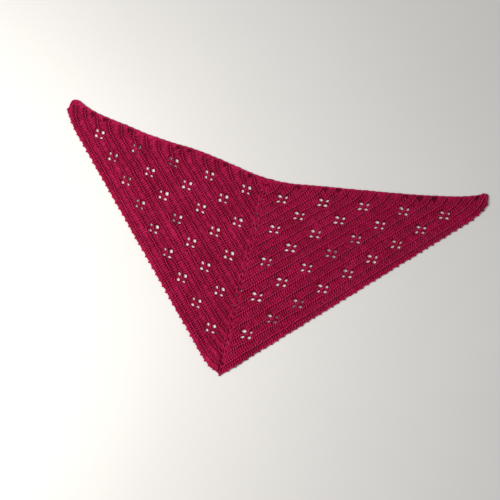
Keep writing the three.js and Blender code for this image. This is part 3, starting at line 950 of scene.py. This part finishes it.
# how far bars differ: in length and in thickness as shares, and along, across and up in mm
BAR_LENGTHS, BAR_THICKNESSES = (0.92, 1.08), (0.93, 1.07)
BAR_ALONG, BAR_ACROSS, BAR_UP = 0.15, 0.22, 0.08
# lighter middle of a bar on each wing, partly wear and partly painted highlight, and the painted shade of its
# ends
BAR_WEAR_AND_PAINTED_HIGHLIGHT = {LEFT: 3.6, RIGHT: 6.1}
BAR_END_PAINTED_SHADE = 6.0
BAR_TINT_VARIATION = 1.2


def slanted_bars(side, repeat, stitch, height):
    """One slanted bar over each stitch of a row line, as paths and radii."""
    share = np.linspace(-1, 1, RIDGE_STEPS)
    n = len(stitch)
    half = BAR_HALF * luck.uniform(*BAR_LENGTHS, (n, 1))
    distance = stitch[:, None] + share * half + luck.normal(0, BAR_ALONG, (n, 1)) * MM
    rows = Rows(side, np.full((n, RIDGE_STEPS), float(repeat)))
    moved = -BAR_SLANT * share + luck.normal(0, BAR_ACROSS, (n, 1)) * MM
    path = rows.at(np.minimum(distance, rows.length), moved)
    path = parted(pulled_by_flowers(side, path), HOLES[side], YARN_ROOM)
    z = height + BAR_ARCH * (1 - share ** 2) + luck.normal(0, BAR_UP, (n, 1)) * MM - BAR_DROP * share
    return laid(path, z), BAR_RADIUS * (1 - BAR_TAPER * share ** 4) * luck.uniform(*BAR_THICKNESSES, (n, 1))


def joined(made_bars):
    """The paths and radii of several lots of bars as one lot."""
    return tuple(np.concatenate(kind) for kind in zip(*made_bars))


def ridge_bars(side, repeats, height=BAR_HEIGHT):
    """Slanted bars along the ridges of a wing, with one more past the first, over the spine."""
    made_bars = []
    for repeat in repeats:
        stitch = ridge_stitches(side, repeat)
        pitch = stitch[1] - stitch[0]
        made_bars.append(slanted_bars(side, repeat, np.append(stitch[0] - pitch, stitch), height))
    return joined(made_bars)


def bar_wear_and_painted_light(side, count):
    """Shades of bars: worn and painted highlight where they stand out, painted shade where they dip under the
    next one.
    """
    share = np.linspace(-1, 1, RIDGE_STEPS)
    return luck.normal(BAR_WEAR_AND_PAINTED_HIGHLIGHT[side], BAR_TINT_VARIATION, (count, 1)) - BAR_END_PAINTED_SHADE * share ** 2


for side, name in ((LEFT, "left"), (RIGHT, "right")):
    skein = Skein()
    paths, radii = ridge_bars(side, range(1, RIDGE_COUNT + 1))
    skein.add(paths, radii, sides=6, tint=bar_wear_and_painted_light(side, len(paths)))
    yarn_pieces.append(wound(skein, f"{name}_ridges"))

# %% [markdown]
# ## Loops and clusters of the flowers
#
# A hole has two sides, like the lids of an eye: a chain of yarn along its neckward side and another along
# its outward side, which cross at the corners and run on into the cloth. Each is two strands laid round each
# other. Between the side holes stands the cluster: three fat posts worked into one gap, closer together
# at the neckward end.

# %% Lids of the holes
LID_POINTS = 12
LID_TURNS = 2.2
LID_RADIUS = 0.86 * MM
LID_HEIGHT = (1.0 * MM, 0.75 * MM)
# painted shade: the loops round the holes and the clusters between them are painted darker, as the holes'
# edges lie in shade
LID_PAINTED_SHADE, CLUSTER_PAINTED_SHADE = -1.6, -0.9
FLOWER_TINT_VARIATION = 0.7
LID_GROWN = 0.95 * MM
LID_OVERRUN = 26.0
LID_RUN_ON = 0.5
LID_TWIST = 0.42 * MM


def hole_lids(holes):
    """Two twisted strands along each of the two sides of every hole."""
    sweep = np.radians(np.linspace(-LID_OVERRUN, 180 + LID_OVERRUN, LID_POINTS))
    arch = np.sin(np.clip(sweep, 0, np.pi))
    run_on = 1 + LID_RUN_ON * np.clip(-np.sin(sweep), 0, 1)
    paths = []
    for hole in holes:
        along, across = hole_axes(hole)
        for lid in (-1, 1):
            start = luck.uniform(0, 2 * np.pi)
            for turn in BOTH_TURNS:
                twist = LID_TURNS * sweep + start + turn
                grown = LID_GROWN + LID_TWIST * np.cos(twist)
                x = cornered(np.cos(sweep)) * run_on * (hole[4] + grown)
                y = lid * cornered(np.sin(sweep)) * (hole[5] + grown)
                rim = hole[:2] + x[:, None] * along + y[:, None] * across
                z = LID_HEIGHT[0] + LID_HEIGHT[1] * arch + LID_TWIST * np.sin(twist)
                paths.append(laid(rim, z))
    return np.array(paths)


# %% Clusters
CLUSTER_STEPS = 6
CLUSTER_RADIUS = 1.08 * MM
CLUSTER_TOP, CLUSTER_FOOT = -3.8 * MM, 6.4 * MM
CLUSTER_ROOM = 0.5 * MM
# for the spread and the height: least and added value in mm, and the part of a wave that they follow
CLUSTER_SPREAD = (1.3, 2.9, 0.15, 0.55)
CLUSTER_HEIGHT = (1.5, 0.9, 0.1, 0.75)
# start and turn of the winding in degrees, and its reach aside and up
CLUSTER_WINDING = (-30, 150)
CLUSTER_TWIST = (0.85 * MM, 0.35 * MM)


def cluster_wave(share, least, added, wave_from, wave_by):
    """A length that swells and shrinks along a post of a cluster."""
    return (least + added * np.sin(np.pi * (wave_from + wave_by * share))) * MM


def cluster_posts(side):
    """Three posts between the side holes of each flower."""
    middles, repeats = flower_middles(side)
    share = np.linspace(0, 1, CLUSTER_STEPS)
    rows = Rows(side, np.repeat(repeats[:, None], CLUSTER_STEPS, 1))
    distance = rows.distance_of(middles[:, None, :])
    moved = CLUSTER_TOP + (CLUSTER_FOOT - CLUSTER_TOP) * share
    paths = []
    for post in (-1, 0, 1):
        fan = post * cluster_wave(share, *CLUSTER_SPREAD)
        for turn in BOTH_TURNS:
            winding = np.radians(CLUSTER_WINDING[0] + CLUSTER_WINDING[1] * share) + turn
            place = distance + fan + CLUSTER_TWIST[0] * np.cos(winding)
            spot = parted(rows.at(place, np.broadcast_to(moved, place.shape)), HOLES[side], CLUSTER_ROOM)
            z = cluster_wave(share, *CLUSTER_HEIGHT) + CLUSTER_TWIST[1] * np.sin(winding)
            paths.append(laid(spot, np.broadcast_to(z, place.shape)))
    return np.concatenate(paths)


skein = Skein()
for side in (LEFT, RIGHT):
    lids, clusters = hole_lids(HOLES[side]), cluster_posts(side)
    lid_tints = luck.normal(LID_PAINTED_SHADE, FLOWER_TINT_VARIATION, len(lids))
    skein.add(lids, LID_RADIUS, tint=lid_tints)
    cluster_tints = luck.normal(CLUSTER_PAINTED_SHADE, FLOWER_TINT_VARIATION, len(clusters))
    skein.add(clusters, CLUSTER_RADIUS, sides=6, tint=cluster_tints)
yarn_pieces.append(wound(skein, "flower_lids_and_clusters"))

# %% [markdown]
# ## The spine
#
# Down the middle each row has one post of its own, with a gap of one chain on either side where the
# increases are made. So the spine is a column of single posts, each as long as a row is deep there, and the
# ridges of both wings cross it in a V. The gaps beside it stay dark, and some of them are the open
# eyelets. Low slanted bars join the rows between the ridges to it.

# %% Posts of the spine
SPINE_POST_STEPS = 8
SPINE_POST_WIDTH = 1.3 * MM
SPINE_POST_RADIUS = 1.35 * MM
SPINE_POST_HEIGHT = (1.15 * MM, 0.85 * MM)
SPINE_POST_SPAN = (-0.08, 1.08)
SPINE_POST_DROP = 3.5 * MM
# start and turn of the winding in degrees, how far posts differ in it, and its reach up
SPINE_WINDING = (-60, 200)
SPINE_WINDING_VARIATION = 0.25
SPINE_TWIST = 0.4 * MM
# the width and the radius at a post's ends, as shares of those in its middle
SPINE_END_WIDTH, SPINE_END_RADIUS = 0.45, 0.72
ROW_JOIN_HEIGHT = 1.35 * MM
# turns of the first and last post of the neck's fan, in degrees
NECK_FAN = (-168, -12)
NECK_POSTS = 8
NECK_INSET = 1.5 * MM
NECK_REACH = 15 * MM


def spine_posts():
    """Both strands of every post of the spine."""
    lines = np.arange(0, EDGE_REPEAT, 0.5)
    y = np.mean([look_up(ROW_STARTS, START_COLUMN[side], lines) for side in (LEFT, RIGHT)], 0) * MM
    share = np.linspace(*SPINE_POST_SPAN, SPINE_POST_STEPS)
    down = y[:-1, None] + (y[1:] - y[:-1])[:, None] * share - SPINE_POST_DROP
    belly = np.sin(np.pi * np.clip(share, 0, 1))
    width = SPINE_POST_WIDTH * (SPINE_END_WIDTH + (1 - SPINE_END_WIDTH) * belly)
    paths = []
    for turn in BOTH_TURNS:
        own = luck.normal(0, SPINE_WINDING_VARIATION, (len(down), 1))
        winding = np.radians(SPINE_WINDING[0] + SPINE_WINDING[1] * share) + own + turn
        x = spine_x(down) + width * np.cos(winding)
        z = SPINE_POST_HEIGHT[0] + SPINE_POST_HEIGHT[1] * belly + SPINE_TWIST * np.sin(winding)
        paths.append(laid(np.stack([x, down], -1), z))
    return np.concatenate(paths), SPINE_POST_RADIUS * (SPINE_END_RADIUS + (1 - SPINE_END_RADIUS) * belly)


def row_joins(side):
    """Low slanted bars that join the rows between the ridges to the spine."""
    lines = np.arange(0.5, RIDGE_COUNT + 0.5)
    stitch = np.array((-0.5, 0.5)) * STITCH
    return joined(slanted_bars(side, line, stitch, ROW_JOIN_HEIGHT) for line in lines)


neck_turn = np.radians(np.linspace(*NECK_FAN, NECK_POSTS))
neck_middle = SPINE_TOP - (0, NECK_INSET)
neck_targets = neck_middle + NECK_REACH * np.stack([np.cos(neck_turn), np.sin(neck_turn)], -1)
skein = Skein()
skein.add(*spine_posts(), sides=6)
skein.add(*fan_posts(neck_middle, neck_targets), flat=POST_FLATNESS)
for side in (LEFT, RIGHT):
    skein.add(*row_joins(side))
yarn_pieces.append(wound(skein, "spine_posts"))

# %% [markdown]
# ## Picots and the top edge
#
# A picot is a tiny loop of three chains, caught down next to where it started, so that it stands up as a
# small leaning point. Three strands follow each point, one inside the other, and two lines of slanted bars
# run along under them. The long top edge has no picots: it shows the turning chains at the row ends.

# %% Picots
PICOT_STEPS = 11
PICOT_SCALES = (1.0, 0.6, 0.22)
PICOT_SHAPE = ((0.0, -1.6), (0.16, 0.2), (0.36, 2.9), (0.52, 4.6), (0.64, 3.9), (0.84, 0.6), (1.0, -1.4))
PICOT_WIDTH = 0.62
PICOT_MIDDLE = 0.5
PICOT_INSET = 0.4 * MM
PICOT_RADIUS = 1.0 * MM
PICOT_HEIGHT, PICOT_INNER_RISE, PICOT_ARCH = 1.2 * MM, 0.5 * MM, 0.35 * MM
PICOT_SIZES = (0.8, 1.12)
PICOT_WANDER = 0.6
# the two lines of bars under the picots: repeats past the edge row, height, sides of the strand
EDGE_BARS = ((0.03, 1.5 * MM, 6), (0.13, 1.1 * MM, 5))


def picots(side):
    """Nested loops of yarn over every picot of a lower edge."""
    starts, pitch = picot_starts(side)
    share, rise = np.array(PICOT_SHAPE).T
    fine = np.linspace(0, 1, PICOT_STEPS)
    shape = np.interp(fine, share, rise) * MM
    size = luck.uniform(*PICOT_SIZES, (len(starts), 1))
    wander = luck.normal(0, PICOT_WANDER, (len(starts), 1)) * MM
    paths = []
    for scale in PICOT_SCALES:
        across = PICOT_MIDDLE + (fine - 0.5) * PICOT_WIDTH * (0.4 + 0.6 * scale)
        distance = starts[:, None] + pitch * across + wander * np.clip(shape / MM, 0, 1)
        moved = PICOT_BAND - PICOT_INSET + shape * scale * size
        spot = Rows(side, np.full(distance.shape, EDGE_REPEAT)).at(distance, moved)
        z = PICOT_HEIGHT + PICOT_INNER_RISE * (1 - scale) + PICOT_ARCH * np.sin(np.pi * fine)
        paths.append(laid(spot, np.broadcast_to(z, distance.shape)))
    return np.concatenate(paths)


skein = Skein()
for side in (LEFT, RIGHT):
    skein.add(picots(side), PICOT_RADIUS, sides=6)
    for past, height, sides in EDGE_BARS:
        skein.add(*ridge_bars(side, (EDGE_REPEAT + past,), height), sides=sides)
yarn_pieces.append(wound(skein, "picots"))

# %% Top edge
TURN_STEPS = 7
# inset from the edge and height of the two strands of a turning chain
TURNING_STRANDS = ((0.1, 1.35), (2.1, 1.95))
# half the length of a chain in repeats, its bulge, how far chains differ in it, and its arch
TURN_HALF = 0.29
TURN_BULGE, TURN_BULGES, TURN_ARCH = 1.3 * MM, (0.6, 1.3), 0.5 * MM
TURN_RADIUS = 1.12 * MM
# the neck's chain: the rows that it joins, how far it runs on past them, its rise and radius
NECK_ROW, NECK_OVERRUN = 0.1, 0.1
NECK_RISE, NECK_RADIUS = 0.6 * MM, 1.3 * MM


def turning_chains(side):
    """Short loops at the ends of the rows, one for each row."""
    repeat = np.arange(0.25, EDGE_REPEAT, 0.5)
    share = np.linspace(-1, 1, TURN_STEPS)
    arch = 1 - share ** 2
    where = np.clip(repeat[:, None] + TURN_HALF * share, 0, EDGE_REPEAT)
    rows = Rows(side, where)
    paths = []
    for inset, height in TURNING_STRANDS:
        bulge = TURN_BULGE * luck.uniform(*TURN_BULGES, (len(repeat), 1)) * arch
        spot = rows.at(rows.length + bulge - inset * MM)
        paths.append(laid(spot, np.broadcast_to(height * MM + TURN_ARCH * arch, where.shape)))
    return np.concatenate(paths)


def neck_chain():
    """Two strands over the neck, where the chains of both wings meet."""
    rows = [Rows(side, np.array(NECK_ROW)) for side in (LEFT, RIGHT)]
    first, last = (row.at(row.length) for row in rows)
    share = np.linspace(-NECK_OVERRUN, 1 + NECK_OVERRUN, TURN_STEPS)[:, None]
    line = first + (last - first) * share
    paths = []
    for inset, height in TURNING_STRANDS:
        spot = line - (0, inset * MM) + NECK_RISE * (1 - (2 * share - 1) ** 2) * (0, 1)
        paths.append(laid(spot, np.full(TURN_STEPS, height * MM)))
    return np.array(paths)


skein = Skein()
for side in (LEFT, RIGHT):
    skein.add(turning_chains(side), TURN_RADIUS, sides=6)
skein.add(neck_chain(), NECK_RADIUS, sides=6)
yarn_pieces.append(wound(skein, "top_edge_chains"))

# %% [markdown]
# ## Cotton yarn as a material
#
# The yarn is plain cotton, dyed crimson: matt, with a short fuzz, plies that twist round each other, and
# small differences in how deep the dye went. Three effects are shared by the strands and the
# ground behind them, so each is a node group with named inputs and outputs. Colours and heights come out of
# the groups, and the shader itself stays in each material.

# %% Helpers for nodes and materials
def new_group(name, inputs, outputs):
    """A shader node group with these sockets. An input is a name, a kind and a starting value."""
    group = bpy.data.node_groups.new(name, "ShaderNodeTree")
    for label, kind, value in inputs:
        socket = group.interface.new_socket(label, in_out="INPUT", socket_type=kind)
        if value is not None:
            socket.default_value = value
    for label, kind in outputs:
        group.interface.new_socket(label, in_out="OUTPUT", socket_type=kind)
    return group, group.nodes.new("NodeGroupInput"), group.nodes.new("NodeGroupOutput")


def fill(tree, made_node, inputs):
    """Fills a node's inputs. A socket given as input is linked, the rest are values."""
    for key, value in inputs.items():
        if isinstance(value, bpy.types.NodeSocket):
            tree.links.new(value, made_node.inputs[key])
        else:
            made_node.inputs[key].default_value = value


def node(tree, kind, inputs=None, **settings):
    """A new node with its settings and inputs."""
    made_node = tree.nodes.new(kind)
    for key, value in settings.items():
        setattr(made_node, key, value)
    fill(tree, made_node, inputs or {})
    return made_node


def math_node(tree, operation, first, second=0.0):
    """The value of one sum."""
    return node(tree, "ShaderNodeMath", {0: first, 1: second}, operation=operation).outputs[0]


def noise(tree, place, scale, detail, distortion=0.0):
    """A cloudy value that changes from place to place."""
    inputs = {"Vector": place, "Scale": scale, "Detail": detail, "Distortion": distortion}
    return node(tree, "ShaderNodeTexNoise", inputs).outputs["Fac"]


def ranged(tree, value, start, end, new_start=0.0, new_end=1.0):
    """A value carried over from one range to another."""
    inputs = {0: value, 1: start, 2: end, 3: new_start, 4: new_end}
    return node(tree, "ShaderNodeMapRange", inputs).outputs[0]


def blended(tree, share, first, second):
    """A colour between two others."""
    return node(tree, "ShaderNodeMix", {0: share, 6: first, 7: second}, data_type="RGBA").outputs[2]


def new_material(name):
    """A material with its node tree and its shader."""
    material = bpy.data.materials.new(name)
    material.use_nodes = True
    return material, material.node_tree, material.node_tree.nodes["Principled BSDF"]


# %% Uneven dye
SLOW_SHARE, QUICK_SHARE = 0.32, 0.75
TINT_STRENGTH = 0.045
# where the dye has its plain colour, and where it is fully faded or fully deep
PLAIN_AT, FADED_AT, DEEP_AT = 0.50, 0.72, 0.30


def uneven_dye_group():
    """Colour of the dyed yarn: slow patches over the shawl and small ones along the yarn."""
    group, given, out = new_group("uneven_dye", (
        ("Colour", "NodeSocketColor", (0.5, 0.0, 0.1, 1)),
        ("Faded Colour", "NodeSocketColor", (0.5, 0.0, 0.1, 1)),
        ("Deep Colour", "NodeSocketColor", (0.5, 0.0, 0.1, 1)),
        ("Patch Scale", "NodeSocketFloat", 13.0),
        ("Fleck Scale", "NodeSocketFloat", 260.0),
        ("Tint", "NodeSocketFloat", 0.0),
    ), (("Colour", "NodeSocketColor"), ("Patches", "NodeSocketFloat")))
    place = node(group, "ShaderNodeTexCoord").outputs["Object"]
    slow = noise(group, place, given.outputs["Patch Scale"], 2.0)
    quick = noise(group, place, given.outputs["Fleck Scale"], 3.0)
    slow_part = math_node(group, "MULTIPLY", slow, SLOW_SHARE)
    quick_part = math_node(group, "MULTIPLY", quick, QUICK_SHARE)
    both_parts = math_node(group, "ADD", slow_part, quick_part)
    patches = math_node(group, "SUBTRACT", both_parts, (SLOW_SHARE + QUICK_SHARE - 1) / 2)
    # the tint carries each stitch's own shade and the painted shade and highlight of posts, bars and loops
    tint = math_node(group, "MULTIPLY", given.outputs["Tint"], TINT_STRENGTH)
    tinted = math_node(group, "ADD", patches, tint)
    faded = ranged(group, tinted, PLAIN_AT, FADED_AT)
    deep = ranged(group, tinted, PLAIN_AT, DEEP_AT)
    lighter = blended(group, faded, given.outputs["Colour"], given.outputs["Faded Colour"])
    colour = blended(group, deep, lighter, given.outputs["Deep Colour"])
    fill(group, out, {"Colour": colour, "Patches": patches})
    return group


UNEVEN_DYE = uneven_dye_group()
print("node group", UNEVEN_DYE.name)


# %% Fuzz of short fibres
FIBRE_DETAIL, FIBRE_CURL = 4.0, 1.2
FIBRE_EDGES = (0.42, 0.66)


def fuzz_group():
    """Height and brightness of the short fibres that stand off cotton."""
    group, given, out = new_group("cotton_fuzz", (
        ("Scale", "NodeSocketFloat", 1400.0),
        ("Stretch", "NodeSocketFloat", 0.35),
    ), (("Height", "NodeSocketFloat"), ("Fibres", "NodeSocketFloat")))
    place = node(group, "ShaderNodeTexCoord").outputs["Object"]
    size = node(group, "ShaderNodeCombineXYZ", {0: 1.0, 1: 1.0, 2: given.outputs["Stretch"]}).outputs[0]
    drawn = node(group, "ShaderNodeVectorMath", {0: place, 1: size}, operation="MULTIPLY").outputs[0]
    fibres = noise(group, drawn, given.outputs["Scale"], FIBRE_DETAIL, FIBRE_CURL)
    fill(group, out, {"Height": fibres, "Fibres": ranged(group, fibres, *FIBRE_EDGES)})
    return group


FUZZ = fuzz_group()
print("node group", FUZZ.name)


# %% Twisted plies
GROOVE_WIDTH = 0.45


def plies_group():
    """Plies that turn round a strand: their height, and the groove between them."""
    group, given, out = new_group("twisted_plies", (
        ("Along", "NodeSocketFloat", 0.0),
        ("Around", "NodeSocketFloat", 0.0),
        ("Plies", "NodeSocketFloat", 3.0),
        ("Turns", "NodeSocketFloat", 1.0),
    ), (("Height", "NodeSocketFloat"), ("Groove", "NodeSocketFloat")))
    along = math_node(group, "MULTIPLY", given.outputs["Along"], given.outputs["Turns"])
    around = math_node(group, "MULTIPLY", given.outputs["Around"], given.outputs["Plies"])
    phase = math_node(group, "MULTIPLY", math_node(group, "ADD", along, around), math.pi)
    round_ply = math_node(group, "ABSOLUTE", math_node(group, "SINE", phase))
    groove = ranged(group, round_ply, 0.0, GROOVE_WIDTH, 1.0, 0.0)
    fill(group, out, {"Height": round_ply, "Groove": groove})
    return group


PLIES = plies_group()
print("node group", PLIES.name)

# %% [markdown]
# The strands' material places the three groups: the dye gives the colour, the grooves between the plies
# are painted darker as painted shade, the short fibres lighten it a little, and plies and fuzz together bend
# the light through a Bump node. Sheen is what makes cotton look soft at grazing angles. It is the same
# everywhere, so it is set on the shader's own socket.

# %% Material of the strands
YARN_COLOUR = (0.34, 0.004, 0.044, 1)
YARN_FADED = (0.52, 0.014, 0.108, 1)
YARN_DEEP = (0.21, 0.0015, 0.020, 1)
# painted shade: the grooves between the plies are painted this darker colour
GROOVE_PAINTED_SHADE = (0.18, 0.001, 0.018, 1)
GROOVE_SHADE_SHARE, FIBRE_LIGHTENING_SHARE = 0.55, 0.18
# the dye's patches from deep to faded, and the roughness that goes with them
PATCH_RANGE, ROUGHNESSES = (0.3, 0.7), (0.78, 0.93)
FUZZ_HEIGHT = 0.45
YARN_BUMP = {"Strength": 0.8, "Distance": 0.25 * MM}


def yarn_material():
    """Crimson cotton yarn with plies and fuzz."""
    material, tree, shader = new_material("crimson_cotton_yarn")
    place = node(tree, "ShaderNodeUVMap", uv_map="yarn").outputs[0]
    parts = node(tree, "ShaderNodeSeparateXYZ", {0: place}).outputs
    tint = node(tree, "ShaderNodeAttribute", attribute_name="tint").outputs["Fac"]
    colours = {"Colour": YARN_COLOUR, "Faded Colour": YARN_FADED, "Deep Colour": YARN_DEEP, "Tint": tint}
    dye = node(tree, "ShaderNodeGroup", colours, node_tree=UNEVEN_DYE)
    plies = node(tree, "ShaderNodeGroup", {"Along": parts["X"], "Around": parts["Y"]}, node_tree=PLIES)
    fuzz = node(tree, "ShaderNodeGroup", node_tree=FUZZ)
    shade = math_node(tree, "MULTIPLY", plies.outputs["Groove"], GROOVE_SHADE_SHARE)
    colour = blended(tree, shade, dye.outputs["Colour"], GROOVE_PAINTED_SHADE)
    # the colour is lightened a little where the short fibres stand
    fibre_lightening = math_node(tree, "MULTIPLY", fuzz.outputs["Fibres"], FIBRE_LIGHTENING_SHARE)
    fibre_height = math_node(tree, "MULTIPLY", fuzz.outputs["Height"], FUZZ_HEIGHT)
    height = math_node(tree, "ADD", plies.outputs["Height"], fibre_height)
    bump = node(tree, "ShaderNodeBump", {**YARN_BUMP, "Height": height})
    fill(tree, shader, {
        "Base Color": blended(tree, fibre_lightening, colour, YARN_FADED),
        "Roughness": ranged(tree, dye.outputs["Patches"], *PATCH_RANGE, *ROUGHNESSES),
        "Normal": bump.outputs[0],
    })
    shader.inputs["Sheen Weight"].default_value = 0.10
    shader.inputs["Sheen Roughness"].default_value = 0.45
    shader.inputs["Sheen Tint"].default_value = (1.0, 0.15, 0.38, 1)
    shader.inputs["Specular IOR Level"].default_value = 0.12
    return material


YARN = yarn_material()
for piece in yarn_pieces:
    piece.data.materials.append(YARN)
print(len(yarn_pieces), "yarn pieces in", YARN.name)

# %% Material of the ground, painted dark as shade
# painted shade: the ground is painted much darker than the strands, for the shade in the gaps between them
GROUND_PAINTED_SHADE_PLAIN = (0.110, 0.0014, 0.014, 1)
GROUND_PAINTED_SHADE_FADED = (0.160, 0.0028, 0.024, 1)
GROUND_PAINTED_SHADE_DEEP = (0.070, 0.0010, 0.008, 1)
LOOP_SCALE = 900.0
GROUND_BUMP = {"Strength": 0.7, "Distance": 0.4 * MM}


def painted_shade_ground_material():
    """The same cotton deeper in the cloth, painted dark as painted shade of the gaps, with small loops of
    yarn.
    """
    material, tree, shader = new_material("crimson_cotton_ground_painted_shade")
    colours = {"Colour": GROUND_PAINTED_SHADE_PLAIN, "Faded Colour": GROUND_PAINTED_SHADE_FADED, "Deep Colour": GROUND_PAINTED_SHADE_DEEP}
    dye = node(tree, "ShaderNodeGroup", colours, node_tree=UNEVEN_DYE)
    fuzz = node(tree, "ShaderNodeGroup", node_tree=FUZZ)
    place = node(tree, "ShaderNodeTexCoord").outputs["Object"]
    yarn_loops = node(tree, "ShaderNodeTexVoronoi", {"Vector": place, "Scale": LOOP_SCALE})
    height = math_node(tree, "SUBTRACT", fuzz.outputs["Height"], yarn_loops.outputs["Distance"])
    bump = node(tree, "ShaderNodeBump", {**GROUND_BUMP, "Height": height})
    fill(tree, shader, {"Base Color": dye.outputs["Colour"], "Normal": bump.outputs[0]})
    shader.inputs["Roughness"].default_value = 0.92
    shader.inputs["Specular IOR Level"].default_value = 0.08
    return material


ground.data.materials.append(painted_shade_ground_material())

# %% [markdown]
# ## Floor and light
#
# The shawl lies on a plain pale floor. The light is that of a room by day: one large soft light from the left
# and a little from below in the picture, across the rows of the left wing and along those of the right one,
# and a weak even light from all round that opens the shadows.

# %% Floor
FLOOR_REACH = 6.0
FLOOR_DROP = 0.2 * MM
FLOOR_COLOURS = ((0.66, 0.645, 0.62, 1), (0.70, 0.685, 0.66, 1))
CLOUD_SCALE, CLOUD_DETAIL = 2.5, 3.0


def floor_material():
    """Pale smooth floor."""
    material, tree, shader = new_material("pale_floor")
    place = node(tree, "ShaderNodeTexCoord").outputs["Object"]
    cloud = noise(tree, place, CLOUD_SCALE, CLOUD_DETAIL)
    fill(tree, shader, {"Base Color": blended(tree, cloud, *FLOOR_COLOURS)})
    shader.inputs["Roughness"].default_value = 0.7
    return material


corners = [(x * FLOOR_REACH, y * FLOOR_REACH, -FLOOR_DROP) for x, y in ((-1, -1), (1, -1), (1, 1), (-1, 1))]
floor_mesh = bpy.data.meshes.new("floor")
floor_mesh.from_pydata(corners, [], [(0, 1, 2, 3)])
floor_mesh.materials.append(floor_material())
floor = link(floor_mesh, "floor")

# %% Light
LIGHT_PLACE = Vector((-1.5, -0.5, 1.4))
LIGHT_SIZE = 0.9
LIGHT_POWER = 54.0
LIGHT_COLOUR = (1.0, 0.97, 0.93)
FILL_COLOUR = (0.93, 0.96, 1.0, 1)
FILL_STRENGTH = 0.45

light_data = bpy.data.lights.new("window_light", "AREA")
light_data.shape = "SQUARE"
light_data.size = LIGHT_SIZE
light_data.energy = LIGHT_POWER
light_data.color = LIGHT_COLOUR
lamp = link(light_data, "window_light")
lamp.location = LIGHT_PLACE
lamp.rotation_euler = (-LIGHT_PLACE).to_track_quat("-Z", "Y").to_euler()
world = bpy.data.worlds.new("room")
world.use_nodes = True
background = world.node_tree.nodes["Background"]
background.inputs["Color"].default_value = FILL_COLOUR
background.inputs["Strength"].default_value = FILL_STRENGTH
bpy.context.scene.world = world
bpy.context.scene.view_settings.view_transform = "Standard"
print("light at", [round(v, 2) for v in LIGHT_PLACE])

# %% [markdown]
# ## Hand the pieces to the frame
#
# Each piece rides on the one body of the part. The ground stands for all five solids, with the yarn pieces
# on it, and the five solids are hidden.

# %% Hand over
for piece in [ground, *yarn_pieces]:
    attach(piece, "root")
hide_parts("left_wing", "right_wing", "center_spine", "left_picot_edge", "right_picot_edge")
